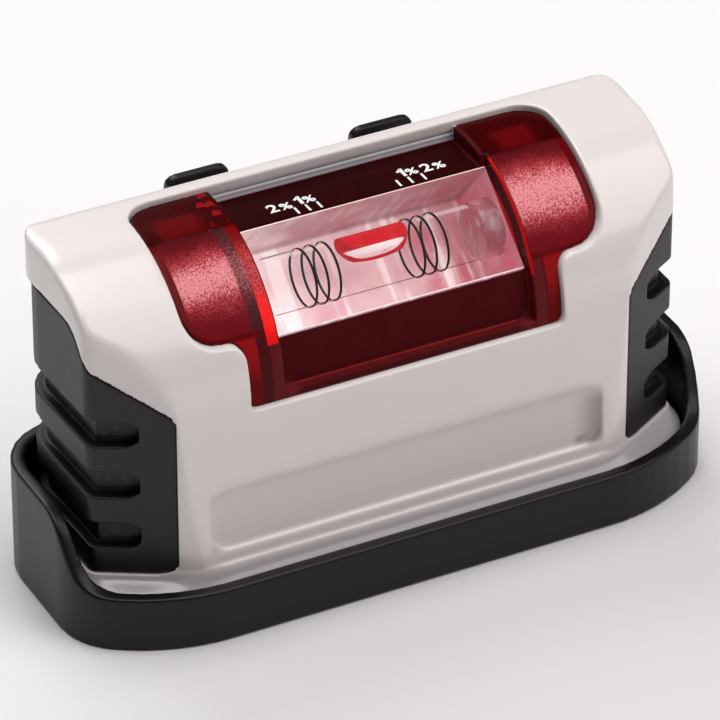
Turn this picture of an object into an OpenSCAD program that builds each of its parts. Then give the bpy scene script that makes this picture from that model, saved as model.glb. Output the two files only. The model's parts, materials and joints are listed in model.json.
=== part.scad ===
// Small magnetic spirit level standing in its belt holster.
// Millimetres, +Z up, +X along the vial, -Y to the front, origin under the middle of the whole.

/* [Level body] */
// Length of the level body, end to end above its skirt
body_len = 84.1; // [76:0.1:110]
// Depth of the level body, front face to back
body_depth = 27.3; // [26:0.1:34]
// Height of the level body, base to top
body_h = 46.6; // [45:0.1:58]
// Radius of the crown that rolls from the top to the front
crown_r = 19; // [18:0.5:20]
// Lean of the front face, in degrees
front_lean = 3; // [0:0.5:4]
// Turn of the corner faces from the front face, in degrees
corner_angle = 30; // [27:1:36]
// Depth of the corner faces, front to crease
corner_depth = 7.2; // [6:0.1:8.5]
// Radius of the blend from the front face to a corner face
front_blend_r = 12; // [6:0.5:16]
// Radius of the crease from a corner face to an end face
crease_r = 1.8; // [1:0.1:3]
// Radius of the rear corners in plan
rear_corner_r = 4.8; // [4.5:0.1:6]
// How much further out the ends stand at the back than at the crease
end_flare = 0.5; // [0:0.1:0.8]
// Radius of the top edges at the ends
top_edge_r = 1.3; // [0.8:0.1:4]
// Radius of the top edge at the back
back_edge_r = 2; // [1:0.1:3]
// Wall of the housing
wall = 1.8; // [1.4:0.1:2.2]

/* [Skirt] */
// How far the skirt stands out from the front and end faces
skirt_out = 1.7; // [1:0.1:2.5]
// Height of the straight skirt
skirt_h = 3.6; // [2.5:0.1:4]
// Height of the hollow flare from skirt to body
flare_h = 2.6; // [2:0.1:4]
// How far the flare still stands out half way up
flare_mid_out = 0.45; // [0.2:0.05:0.8]

/* [Front recess] */
// Length of the bare recess on the front face
recess_len = 56.4; // [30:0.1:58]
// Height of the recess
recess_h = 8.8; // [5:0.1:12]
// Height of the recess above the base
recess_up = 8; // [7.5:0.1:10]
// Depth of the recess
recess_depth = 0.5; // [0.2:0.1:0.8]
// Corner radius of the recess
recess_r = 3; // [1:0.1:4]

/* [Grips] */
// Thickness of the rubber grips
grip_t = 2.6; // [2.2:0.1:3]
// How far the rubber stands proud of the housing; below zero it lies deeper
grip_proud = -0.1; // [-0.3:0.05:0.2]
// Drop from the top of the body to the top of a grip
grip_drop = 6.2; // [5:0.1:9]
// Distance from the front face to the knee in a grip's top edge
grip_knee_in = 10.95; // [9:0.05:14]
// Fall of a grip's top edge from the knee to its front edge
grip_fall = 11.6; // [8:0.1:14]
// Distance from the front face to a grip's front edge
grip_edge_in = 1.85; // [1.5:0.05:3]
// Height of a grip's lower edge above the base
grip_up = 5.6; // [5:0.1:7]
// How far a grip wraps round on to the back face
grip_wrap = 5; // [4.6:0.1:6]
// Radius of the grips' rear corners
grip_rear_r = 6.5; // [5.5:0.1:7]
// Number of grooves in a grip
groove_count = 3; // [1:1:3]
// Spacing of the grooves
groove_pitch = 7.65; // [6:0.05:8.5]
// Height of one groove
groove_h = 3.8; // [2:0.1:4.5]
// Depth of one groove
groove_depth = 1.6; // [0.8:0.1:1.8]
// Height of the first groove above the base
groove_up = 9.3; // [8:0.1:11]
// Distance from the front face to the round front end of a groove
groove_stop_in = 4.05; // [3.5:0.05:6]

/* [Window] */
// Width of the window across its shoulders
win_w = 59.2; // [52:0.1:60]
// How far the window lies right of the middle
win_shift = 0.5; // [0:0.1:0.6]
// Width of the window at its neck
win_neck_w = 44.4; // [41.5:0.1:48]
// Drop from the top of the body to the shoulders' lower edge
win_shoulder_drop = 10.4; // [8:0.1:12]
// Drop from the top of the body to the window's lower edge
win_drop = 19.4; // [17:0.1:19.6]
// Distance from the back face to the window's rear edge
win_back_in = 3.3; // [3:0.1:5]
// Corner radius of the shoulders
win_corner_r = 4.5; // [2:0.1:6]
// Radius of the inside corners at the neck
win_neck_r = 2.2; // [1:0.1:3]
// Radius of the window's rear corners
win_rear_r = 4; // [2:0.1:5]
// How far the window lies below the housing's surface
win_sink = 0.8; // [0.4:0.1:1]
// Thickness of the window
win_t = 2.2; // [1.8:0.1:2.4]
// Clear width between the two shoulders
saddle_w = 35.8; // [32:0.1:38]
// How far the saddle and its vial lie right of the middle
saddle_shift = 1.2; // [0:0.1:1.6]
// How much narrower the saddle is on the right beside the shelf
shelf_step = 0.8; // [0.4:0.1:1]
// Thickness of the cheeks at the inner ends of the shoulders
cheek_t = 1.2; // [0.8:0.1:1.6]
// Depth of the cheeks below the window's surface
cheek_h = 4.2; // [3.8:0.1:5]
// Drop from the top of the body to the label shelf
shelf_drop = 2.75; // [2.4:0.05:3.2]
// Thickness of the label shelf
shelf_t = 1.4; // [1:0.1:2]
// Height of the sill under the lower panel
sill_h = 0.9; // [0.6:0.1:1.6]
// How far the lower panel lies behind the front face at the sill
panel_in = 2.2; // [1.8:0.1:2.6]
// Thickness of the lower panel
panel_t = 1.5; // [1:0.1:2]
// Thickness of the scale film on the shelf
scale_t = 0.25; // [0.15:0.05:0.4]
// Bare margin round the scale film
scale_margin = 0.5; // [0.3:0.1:1]

/* [Vial] */
// Width of the vial block's face
vial_w = 14.4; // [13:0.1:15]
// Depth of the vial block
vial_h = 11; // [10.4:0.1:11.5]
// Slant of the vial's face below the level, in degrees
vial_tilt = 40; // [36:1:44]
// How far the vial's face lies below the crown
vial_sink = 3.74; // [3.5:0.01:4.2]
// Diameter of the vial's bore
bore_d = 7.9; // [6.5:0.1:8]
// Depth of the bore's axis below the vial's face
bore_in = 4.9; // [4.8:0.1:6]
// How far the bore's axis lies above the middle of the vial's face, along the slant
bore_rise = 0.5; // [0:0.1:0.6]
// Length of the bore that the spirit fills
bore_len = 30; // [26:0.5:31]
// Length of the bubble
bubble_len = 10.2; // [8:0.1:11]
// Width of the bubble
bubble_w = 4.2; // [4:0.1:5.6]
// Height of the bubble's middle above the bore's axis
bubble_lift = 2.4; // [1.4:0.1:2.6]
// How far right of the middle the bubble rests
bubble_shift = 0.5; // [0:0.1:0.6]
// Number of rings on each side of the bubble
ring_count = 3; // [1:1:3]
// Distance between the two inner rings
ring_span = 12; // [10.5:0.1:14]
// Spacing of the rings
ring_pitch = 1.7; // [1.2:0.1:2.2]
// Width of one ring
ring_w = 0.45; // [0.2:0.05:0.6]
// Thickness of one ring
ring_t = 0.12; // [0.08:0.02:0.2]

/* [Cradle] */
// Thickness of the reflector sheet behind the vial
reflector_t = 0.6; // [0.4:0.1:0.8]
// Thickness of the cradle
cradle_t = 1.5; // [1.2:0.1:2]
// Height of the cradle's side walls
cradle_wall_h = 6; // [4:0.1:8]
// Thickness of the cradle's arms
arm_t = 2; // [1.6:0.1:3]
// Width of the cradle's arms
arm_w = 8; // [7:0.1:9]
// Drop from the crown's axis to the top of the arms
arm_drop = 0.8; // [0.5:0.1:2]

/* [Base] */
// Thickness of the base plate
base_t = 5.4; // [5:0.1:5.6]
// Width of the pipe groove
vee_w = 9; // [7:0.1:9.4]
// Depth of the pipe groove
vee_h = 4; // [3:0.1:4.2]
// Diameter of the magnets
magnet_d = 6; // [5:0.1:6.4]
// Height of the magnets
magnet_h = 3.6; // [2.5:0.1:4]
// How far the magnets lie above the base's underside
magnet_up = 0.2; // [0.1:0.05:0.4]
// Distance between the magnets along the base
magnet_span_x = 40; // [30:0.5:46]
// Distance between the magnets across the base
magnet_span_y = 16.2; // [15.8:0.1:16.8]
// Diameter of the screws
screw_d = 2.2; // [1.8:0.1:2.4]
// Diameter of the screw heads
head_d = 4; // [3.6:0.1:4.4]
// Height of the screw heads
head_h = 1.6; // [1.2:0.1:1.8]
// How deep a screw goes into its post
screw_grip = 7; // [5:0.1:8]
// Radius of the posts that take the screws
post_r = 2.9; // [2.6:0.1:3.1]

/* [Holster] */
// Wall of the tray
tray_wall = 1.9; // [1.5:0.1:2.4]
// Floor of the tray
floor_t = 2.4; // [2:0.1:3]
// Gap all round the level in the tray
fit_gap = 0.35; // [0.3:0.05:0.6]
// Height of the tray's front rim
rim_low = 7.8; // [7:0.1:9]
// Height of the tray's ends
rim_high = 16.6; // [13:0.1:20]
// Distance from the tray's front to the foot of the rim's rise
rise_foot_in = 8; // [6.5:0.1:9]
// Distance from the tray's front to the head of the rim's rise
rise_head_in = 13.3; // [12:0.1:16]
// Radius where the rise leaves the front rim
rise_foot_r = 5; // [3:0.5:7]
// Radius where the rise meets the raised rim
rise_head_r = 6; // [3:0.5:7]
// Turn of the tray's corners from its front, in degrees
tray_corner_angle = 32.8; // [30:0.1:36]
// Depth of the tray's corners, before rounding
tray_corner_depth = 7.3; // [6:0.1:8]
// Radius of the tray's blend from front to corner
tray_front_r = 26; // [16:0.5:30]
// Radius of the tray's crease from corner to end
tray_crease_r = 9.5; // [6:0.5:12]
// Radius of the tray's rear corners
tray_rear_r = 9; // [8:0.1:9.4]
// Width of the back wall's tongue
tongue_w = 42; // [40:0.5:60]
// Height of the back wall's tongue
tongue_h = 40; // [36:0.5:42]
// Length of the steel keeper plate
keeper_len = 64; // [54:0.5:66]
// How far the keeper plate reaches past the magnets at the front and back
keeper_margin = 0.4; // [0.2:0.1:0.8]
// Thickness of the keeper plate
keeper_t = 1; // [0.6:0.1:1.2]
// Distance between the keeper's rivets
rivet_span = 52; // [40:0.5:56]
// Diameter of the rivets
rivet_d = 3; // [2:0.1:3.4]
// Diameter of the rivet heads
rivet_head_d = 4.6; // [4:0.1:5]
// Height of the rivet heads
rivet_head_h = 0.5; // [0.3:0.1:0.6]

/* [Belt clip] */
// Gap for the belt
belt_gap = 4.3; // [4.2:0.1:6]
// Thickness of the clip
clip_t = 2.2; // [1.8:0.1:3]
// Height of the thumb tabs
tab_top = 44.8; // [43:0.1:48]
// Thickness of the thumb tabs at their tips
tab_tip_t = 1.1; // [0.8:0.1:1.6]
// Corner radius of the thumb tabs
tab_r = 1.3; // [0.5:0.1:3]
// Width of one thumb tab
tab_w = 8.8; // [6:0.1:10]
// Width of the slot between the tabs
slot_w = 17.8; // [16.4:0.1:22]
// Height of the clip's lower end
clip_low = 5; // [3:0.1:9]
// Width of the clip's lower end
clip_low_w = 25; // [18:0.1:30]
// Height of the hinge pin
pin_z = 31; // [29:0.1:32]
// Diameter of the hinge pin
pin_d = 2; // [1.6:0.1:2.2]
// Running gap round the hinge pin
pin_gap = 0.05; // [0.03:0.01:0.1]
// Radius of the lugs and ears round the pin
knuckle_r = 1.9; // [1.8:0.05:1.95]
// Thickness of the lugs on the tray
lug_t = 2.6; // [2:0.1:3.2]
// Thickness of the ears on the clip
ear_t = 2.6; // [2:0.1:3.2]
// Wire of the spring
wire_d = 0.6; // [0.5:0.05:0.7]
// Turns of the spring
spring_turns = 6; // [4:1:7]
// Length of the spring's legs
spring_leg = 6; // [5:0.1:7]
// Distance between the spring's turns
spring_pitch = 1.3; // [1.15:0.05:1.4]

/* [Clearances] */
// Gap between parts that are fixed to each other
seat_gap = 0.1; // [0.05:0.01:0.15]
// Gap round the bubble
bubble_gap = 0.35; // [0.3:0.05:0.5]
// Side gap between lugs and ears
side_gap = 0.35; // [0.3:0.05:0.6]

/* [Hidden] */

// Resolution
$fn = 48;
arc_steps = 6;
crown_steps = 30;
eps = 0.01;
over = 20;

// Main places
tray_depth = body_depth + skirt_out + 2 * (fit_gap + tray_wall);
overall_depth = tray_depth + belt_gap + clip_t;
front_y = -overall_depth / 2;
tray_back = front_y + tray_depth;
body_front = front_y + tray_wall + fit_gap + skirt_out;
body_back = body_front + body_depth;
mid_y = (body_front + body_back) / 2;
half_len = body_len / 2;
half_tray = half_len + skirt_out + fit_gap + tray_wall;
base_z = floor_t + seat_gap;
top_z = base_z + body_h;
base_top = base_z + base_t;
keeper_w = magnet_span_y + magnet_d + 2 * keeper_margin;

// Crown: its axis lies one radius from the top and from the leaning front face
crown_z = top_z - crown_r;
crown_y = body_front + (crown_r + sin(front_lean) * (crown_z - base_z)) / cos(front_lean);

// Vial frame: radial distances from the crown's axis
vial_len = saddle_w - 4 * seat_gap;
vial_face = crown_r - vial_sink;
vial_floor = vial_face - vial_h;
bore_r = bore_d / 2;
bore_y = crown_y - (vial_face - bore_in) * sin(vial_tilt) + bore_rise * cos(vial_tilt);
bore_z = crown_z + (vial_face - bore_in) * cos(vial_tilt) + bore_rise * sin(vial_tilt);
fluid_r = bore_r - ring_t - seat_gap / 2;
bubble_r = bubble_w / 2;
plug_len = vial_len / 2 - bore_len / 2;

// Window levels
win_shoulder_z = top_z - win_shoulder_drop;
win_low_z = top_z - win_drop;
win_back = body_back - win_back_in;
win_flange = win_back_in - wall - 2 * seat_gap;
sill_z = win_low_z + sill_h;
shelf_z = top_z - shelf_drop;
shelf_front = crown_y - vial_face * sin(vial_tilt) + vial_w / 2 * cos(vial_tilt);

// Cradle and screw places
inner_half = half_len - grip_wrap - wall / 2;
arm_top = crown_z - arm_drop;
arm_y = crown_y - 2;
boss_x = inner_half - post_r + 1.2;
post_x = half_len - corner_depth / tan(corner_angle) - 1;
post_dy = magnet_span_y / 2;
post_h = screw_grip + 4;

// Clip places
clip_in = tray_back + belt_gap;
clip_back = clip_in + clip_t;
pin_y = tray_back + (belt_gap + seat_gap) / 2;
lug_x = slot_w / 2 - side_gap - lug_t;
arm_x = slot_w / 2;
slot_low = pin_z - knuckle_r - 4 * side_gap;
pin_len = 2 * (arm_x + ear_t) + 1;
coil_r = pin_d / 2 + pin_gap + wire_d / 2 + side_gap;

// Colours
white = "#e9e4e0";
black = "#1e1c1e";
red = [0.65, 0.05, 0.07, 0.6];
clear = [0.9, 0.85, 0.86, 0.4];
steel = "#b8babd";

// Outline helpers
function xy(p) = [p[0], p[1]];
function unit(v) = v / norm(v);
function fillet(a, b, c, r) =
    r <= 0 ? [b] :
    let (u = unit(a - b),
         v = unit(c - b),
         half = acos(u * v) / 2,
         centre = b + unit(u + v) * r / sin(half),
         s = b + u * r / tan(half) - centre,
         e = b + v * r / tan(half) - centre,
         start = atan2(s[1], s[0]),
         turn = atan2(s[0] * e[1] - s[1] * e[0], s * e))
    [for (i = [0 : arc_steps]) centre + r * [cos(start + turn * i / arc_steps), sin(start + turn * i / arc_steps)]];
function rounded(pts) =
    let (n = len(pts))
    [for (i = [0 : n - 1]) each fillet(xy(pts[(i + n - 1) % n]), xy(pts[i]), xy(pts[(i + 1) % n]), pts[i][2])];
function mirrored(half) =
    concat(half, [for (i = [len(half) - 1 : -1 : 0]) [-half[i][0], half[i][1], half[i][2]]]);

// Plan outline with cut corners: f, c, e and b move its front, corners, ends and back outwards
function cornered(half, front, back, angle, depth, flare, f, c, e, b, rf, rc, rb) =
    let (n = [sin(angle), -cos(angle)],
         k = n * [half, front + depth] + c,
         y = front - f,
         x = half + e)
    mirrored([[(k - n[1] * y) / n[0], y, rf], [x, (k - n[0] * x) / n[1], rc], [x + flare, back + b, rb]]);
function body_plan(f, c, e, b, rear = rear_corner_r) =
    rounded(cornered(half_len, body_front, body_back, corner_angle, corner_depth, end_flare, f, c, e, b,
                     max(0, front_blend_r + c), max(0, crease_r + c), max(0, rear + min(e, b))));
function tray_plan(o) =
    rounded(cornered(half_tray, front_y, tray_back, tray_corner_angle, tray_corner_depth, 0, o, o, o, o,
                     tray_front_r + o, tray_crease_r + o, tray_rear_r + o));
function front_at(z) = body_front + (z - base_z) * tan(front_lean);

// Extrusions: a (y, z) outline along X, an (x, z) outline along Y, an (x, y) outline up Z
module along_x(length) { rotate([90, 0, 90]) linear_extrude(height = length, center = true) children(); }
module along_y(y0, y1) { translate([0, y1, 0]) rotate([90, 0, 0]) linear_extrude(height = y1 - y0) children(); }
module up(z0, z1) { translate([0, 0, z0]) linear_extrude(height = z1 - z0) children(); }
module rod_x(length, r) { rotate([0, 90, 0]) cylinder(r = r, h = length, center = true); }
module both_ends() { children(); mirror([1, 0, 0]) children(); }

// Side outline of the body, moved in from its surface by o, and from its back by b
function crown_arc(o) =
    [for (i = [0 : crown_steps]) let (t = 90 + (90 - front_lean) * i / crown_steps)
        [crown_y + (crown_r - o) * cos(t), crown_z + (crown_r - o) * sin(t), 0]];
module side_outline(o, b, low) {
    polygon(rounded(concat([[body_back - b, low, 0],
                            [body_back - b, top_z - o, b < 0 ? 0 : max(0, back_edge_r - o)]],
                           crown_arc(o),
                           [[front_at(low) + o / cos(front_lean), low, 0]])));
}

module body_form() {
    intersection() {
        along_x(body_len + over) side_outline(0, 0, base_z);
        up(base_z, top_z + 1) polygon(body_plan(0, 0, 0, 0));
        along_y(body_front - over, body_back + over)
            polygon(rounded(mirrored([[half_len + end_flare, base_z, 0], [half_len + end_flare, top_z, top_edge_r]])));
    }
}

module skirt_outline(o) { polygon(tray_plan(o - tray_wall - fit_gap)); }

// The skirt keeps to the body's flat back
module skirt_form() {
    z0 = base_z + skirt_h;
    intersection() {
        union() {
            up(base_z, z0) skirt_outline(0);
            hull() {
                up(z0 - eps, z0) skirt_outline(0);
                up(z0 + flare_h / 2, z0 + flare_h / 2 + eps) polygon(body_plan(flare_mid_out, flare_mid_out, flare_mid_out, 0));
            }
            hull() {
                up(z0 + flare_h / 2, z0 + flare_h / 2 + eps) polygon(body_plan(flare_mid_out, flare_mid_out, flare_mid_out, 0));
                up(z0 + flare_h, z0 + flare_h + eps) polygon(body_plan(0, 0, 0, 0));
            }
        }
        translate([-half_tray, front_y, base_z]) cube([2 * half_tray, body_back - front_y, body_h]);
    }
}

// Outline of the base plate's seat, moved out by o
module base_outline(o) {
    step = flare_mid_out - wall + o;
    intersection() {
        skirt_outline(o - wall);
        polygon(body_plan(step, step, step, o - wall));
    }
}

module cavity() {
    up(base_z - 1, base_top) base_outline(0);
    intersection() {
        along_x(body_len) side_outline(wall, wall, base_z);
        up(base_z, top_z) polygon(body_plan(-wall, -grip_t - wall, inner_half - half_len, -wall));
    }
}

// Window outline from the front, grown by o, and the prism it cuts from the body
function window_outline(o) =
    rounded(mirrored([[win_neck_w / 2 + o, win_low_z - o, 1],
                      [win_neck_w / 2 + o, win_shoulder_z - o, win_neck_r],
                      [win_w / 2 + o, win_shoulder_z - o, win_corner_r],
                      [win_w / 2 + o, top_z + 1, 0]]));
module window_prism(o) {
    translate([win_shift, 0, 0]) intersection() {
        along_y(body_front - 1, win_back + o) polygon(window_outline(o));
        up(base_z, top_z + 1)
            polygon(rounded(mirrored([[win_w / 2 + o, body_front - 1, 0], [win_w / 2 + o, win_back + o, win_rear_r]])));
    }
}

// A layer under the top, crown and front, from depth a to depth b
module layer(a, b) {
    difference() {
        along_x(body_len) side_outline(a, 0, base_z);
        along_x(body_len + over) side_outline(b, -over, base_z - 1);
    }
}

module front_recess() {
    z0 = base_z + recess_up;
    intersection() {
        layer(-1, recess_depth);
        along_y(body_front - 2, body_front + over / 2)
            polygon(rounded(mirrored([[recess_len / 2, z0, recess_r], [recess_len / 2, z0 + recess_h, recess_r]])));
    }
}

// One grip, on the +X end: a jacket of the plan, cut to its side outline
module grip_jacket(outer, inner, grow) {
    top = top_z - grip_drop;
    edge = body_front + grip_edge_in - grow;
    low = base_z + grip_up - grow;
    behind = body_back + over;
    intersection() {
        difference() {
            up(base_z, top_z) polygon(body_plan(outer, outer, outer, 0, grip_rear_r));
            up(base_z - 1, top_z + 1) polygon(body_plan(-inner, -inner, -inner, -inner, grip_rear_r));
            translate([-half_len, body_back - inner - 1, base_z])
                cube([2 * half_len - grip_wrap - grow, inner + 2, body_h]);
        }
        along_x(body_len + over)
            polygon(rounded([[behind, low, 0], [behind, top + grow, 0],
                             [body_front + grip_knee_in - grow / 2, top + grow, 5],
                             [edge, top - grip_fall + grow / 2, 2.5], [edge, low, 1.5]]));
        translate([half_len - corner_depth / tan(corner_angle), front_y, base_z]) cube([half_len, tray_depth, body_h]);
    }
}
module grip_grooves() {
    stop = body_front + groove_stop_in;
    intersection() {
        difference() {
            up(base_z, top_z) polygon(body_plan(2, 2, 2, 2, grip_rear_r));
            up(base_z - 1, top_z + 1)
                polygon(body_plan(grip_proud - groove_depth, grip_proud - groove_depth, grip_proud - groove_depth,
                                  -groove_depth, grip_rear_r));
        }
        along_x(body_len + over)
            for (i = [0 : groove_count - 1]) {
                z = base_z + groove_up + i * groove_pitch;
                polygon(rounded([[body_back + over, z, 0], [body_back + over, z + groove_h, 0],
                                 [stop, z + groove_h, groove_h * 0.4], [stop, z, groove_h * 0.4]]));
            }
    }
}
module grip_form() {
    difference() {
        grip_jacket(grip_proud, grip_t - seat_gap, 0);
        grip_grooves();
    }
}

// Screw places
module at_base_screws() {
    for (sx = [-1, 1], sy = [-1, 1])
        translate([sx * post_x, mid_y + sy * post_dy, base_z]) children();
}
module at_cradle_screws() {
    for (sx = [-1, 1]) translate([sx * boss_x, arm_y, arm_top - arm_t]) children();
}

module housing() {
    color(white) difference() {
        union() {
            difference() {
                union() {
                    body_form();
                    skirt_form();
                }
                cavity();
            }
            intersection() {
                body_form();
                union() {
                    at_base_screws() translate([0, 0, base_t]) cylinder(r = post_r, h = post_h);
                    both_ends() for (y = [body_front, mid_y + post_dy])
                        translate([post_x - wall / 2, y, base_top]) cube([wall, body_depth / 2 - post_dy, post_h]);
                    at_cradle_screws() translate([0, 0, arm_t + seat_gap]) cylinder(r = post_r, h = crown_r + arm_drop - seat_gap - eps);
                }
            }
        }
        window_prism(seat_gap);
        front_recess();
        both_ends() grip_jacket(over, grip_t, seat_gap);
        at_base_screws() cylinder(r = screw_d / 2 + seat_gap / 2, h = base_t + screw_grip + 1);
        at_cradle_screws() cylinder(r = screw_d / 2 + seat_gap / 2, h = arm_t + screw_grip + 1);
    }
}

module grip_right() { color(black) grip_form(); }
module grip_left() { color(black) mirror([1, 0, 0]) grip_form(); }

// Vial frame: X along the vial, Z out of its slanted face, origin on the crown's axis
module in_saddle() { translate([saddle_shift, 0, 0]) children(); }
module in_vial() { in_saddle() translate([0, crown_y, crown_z]) rotate([vial_tilt, 0, 0]) children(); }
module vial_pocket() {
    half = saddle_w / 2 - seat_gap;
    in_vial() translate([-half, -vial_w / 2 - seat_gap, vial_floor - seat_gap])
        cube([2 * half, vial_w + 2 * seat_gap, vial_h + over]);
}

module window() {
    lower_edge = [crown_y - vial_face * sin(vial_tilt) - vial_w / 2 * cos(vial_tilt),
                  crown_z + vial_face * cos(vial_tilt) - vial_w / 2 * sin(vial_tilt)];
    sill_edge = [front_at(sill_z) + panel_in, sill_z];
    step_y = shelf_front + 4 * seat_gap;
    color(red) difference() {
        union() {
            difference() {
                union() {
                    difference() {
                        intersection() {
                            window_prism(win_flange);
                            layer(win_sink, win_sink + win_t);
                        }
                        difference() {
                            layer(0, wall + seat_gap);
                            window_prism(0);
                        }
                    }
                    for (sx = [-1, 1]) intersection() {
                        window_prism(0);
                        layer(win_sink + win_t / 2, win_sink + cheek_h);
                        in_saddle() translate([sx * saddle_w / 2 - cheek_t, body_front, win_low_z])
                            cube([2 * cheek_t, body_depth, body_h]);
                    }
                }
                in_saddle() up(sill_z, top_z + 1)
                    polygon([[-saddle_w / 2, body_front - 1], [saddle_w / 2, body_front - 1], [saddle_w / 2, step_y],
                             [saddle_w / 2 - shelf_step, step_y], [saddle_w / 2 - shelf_step, win_back],
                             [-saddle_w / 2, win_back]]);
            }
            in_saddle() translate([-saddle_w / 2 - cheek_t / 2, shelf_front - shelf_t, shelf_z - shelf_t])
                cube([saddle_w + cheek_t, win_back + win_flange / 2 - shelf_front + shelf_t, shelf_t]);
            in_saddle() along_x(saddle_w + cheek_t)
                polygon([lower_edge, sill_edge, sill_edge - [0, sill_h / 2], sill_edge + [panel_t, -sill_h / 2],
                         sill_edge + [panel_t, 0], lower_edge + [panel_t, 0]]);
        }
        vial_pocket();
    }
}

module scale_plate() {
    color("#2a0609") in_saddle() translate([-saddle_w / 2 + scale_margin, shelf_front + seat_gap, shelf_z])
        cube([saddle_w - shelf_step - 2 * scale_margin, win_back - shelf_front - seat_gap - scale_margin, scale_t]);
}

module at_bore() { in_saddle() translate([0, bore_y, bore_z]) children(); }

module vial_block() {
    color(clear) difference() {
        in_vial() translate([-vial_len / 2, -vial_w / 2, vial_floor]) cube([vial_len, vial_w, vial_h]);
        at_bore() translate([(vial_len - bore_len) / 4 + eps, 0, 0]) rod_x((vial_len + bore_len) / 2 + 2 * eps, bore_r);
    }
}

module vial_plug() {
    color(clear) at_bore() translate([(bore_len + vial_len) / 4, 0, 0]) rod_x(plug_len, bore_r - seat_gap / 2);
}

module level_rings() {
    color(black) at_bore() both_ends()
        for (i = [0 : ring_count - 1])
            translate([ring_span / 2 + i * ring_pitch, 0, 0]) difference() {
                rod_x(ring_w, bore_r - eps);
                rod_x(ring_w + 1, bore_r - ring_t);
            }
}

module bubble_run(length, r) {
    translate([0, 0, bubble_lift]) {
        rod_x(length - 2 * r, r);
        both_ends() translate([length / 2 - r, 0, 0]) sphere(r = r);
    }
}

module vial_fluid() {
    color([0.93, 0.85, 0.87, 0.3]) at_bore() difference() {
        rod_x(bore_len - 2 * seat_gap, fluid_r);
        translate([0, 0, bubble_lift]) rod_x(bore_len, bubble_r + bubble_gap);
    }
}

module bubble() {
    color([0.85, 0.1, 0.15, 0.7]) at_bore() translate([bubble_shift, 0, 0]) intersection() {
        bubble_run(bubble_len, bubble_r);
        rod_x(bubble_len, fluid_r - bubble_gap);
    }
}

module vial_reflector() {
    color(white) in_vial() translate([-vial_len / 2, -vial_w / 2, vial_floor - seat_gap - reflector_t])
        cube([vial_len, vial_w, reflector_t]);
}

module vial_cradle() {
    z0 = vial_floor - 2 * seat_gap - reflector_t;
    y0 = vial_w / 2 + seat_gap;
    color("#3a3a3c") difference() {
        intersection() {
            union() {
                in_vial() translate([-vial_len / 2, -y0 - cradle_t, z0 - cradle_t]) difference() {
                    cube([vial_len, 2 * (y0 + cradle_t), cradle_t + cradle_wall_h]);
                    translate([-1, cradle_t, cradle_t]) cube([vial_len + 2, 2 * y0, cradle_wall_h + 1]);
                }
                translate([-boss_x - post_r, arm_y - arm_w / 2, arm_top - arm_t]) cube([2 * (boss_x + post_r), arm_w, arm_t]);
                in_vial() translate([-vial_len / 2, -arm_w / 2, -arm_drop - arm_t]) cube([vial_len, cradle_t, z0 + arm_drop + arm_t - eps]);
            }
            along_x(2 * (inner_half - seat_gap)) side_outline(wall + 3 * seat_gap, wall + 3 * seat_gap, base_z);
        }
        at_cradle_screws() translate([0, 0, -1]) cylinder(r = screw_d / 2 + seat_gap, h = arm_t + 2);
    }
}

module screw(length) {
    translate([0, 0, -head_h]) difference() {
        cylinder(r = head_d / 2, h = head_h);
        for (turn = [0, 90]) rotate(turn) translate([-head_d * 0.35, -head_d * 0.07, -1]) cube([head_d * 0.7, head_d * 0.14, 1 + head_h * 0.6]);
    }
    translate([0, 0, -eps]) cylinder(r = screw_d / 2, h = length + eps);
}

module cradle_screws() { color(steel) at_cradle_screws() screw(arm_t + screw_grip); }

module base_plate() {
    color("#9a9ca0") difference() {
        up(base_z, base_top - seat_gap) base_outline(-seat_gap);
        along_x(body_len + over) polygon([[mid_y - vee_w / 2 - 1, base_z - 1], [mid_y + vee_w / 2 + 1, base_z - 1],
                                          [mid_y + vee_w / 2, base_z], [mid_y + 0.5, base_z + vee_h],
                                          [mid_y - 0.5, base_z + vee_h], [mid_y - vee_w / 2, base_z]]);
        for (sx = [-1, 1], sy = [-1, 1])
            translate([sx * magnet_span_x / 2, mid_y + sy * magnet_span_y / 2, base_z - 1])
                cylinder(r = magnet_d / 2 + seat_gap / 2, h = magnet_h + magnet_up + seat_gap / 2 + 1);
        at_base_screws() {
            translate([0, 0, -1]) cylinder(r = screw_d / 2 + seat_gap, h = base_t + 2);
            translate([0, 0, -1]) cylinder(r = head_d / 2 + seat_gap, h = head_h + 2 * seat_gap + 1);
        }
    }
}

module magnet(sx, sy) {
    color(steel) translate([sx * magnet_span_x / 2, mid_y + sy * magnet_span_y / 2, base_z + magnet_up])
        cylinder(r = magnet_d / 2, h = magnet_h);
}
module magnet_front_left() { magnet(-1, -1); }
module magnet_front_right() { magnet(1, -1); }
module magnet_rear_left() { magnet(-1, 1); }
module magnet_rear_right() { magnet(1, 1); }

module base_screws() {
    color(steel) at_base_screws() translate([0, 0, head_h + 2 * seat_gap]) screw(base_t + screw_grip - head_h);
}

// Holster
module lug(x0, t) {
    translate([x0, 0, 0]) {
        translate([t / 2, pin_y, pin_z]) rod_x(t, knuckle_r);
        translate([0, tray_back - eps, pin_z - knuckle_r]) cube([t, pin_y - tray_back + eps, 2 * knuckle_r]);
    }
}

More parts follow.
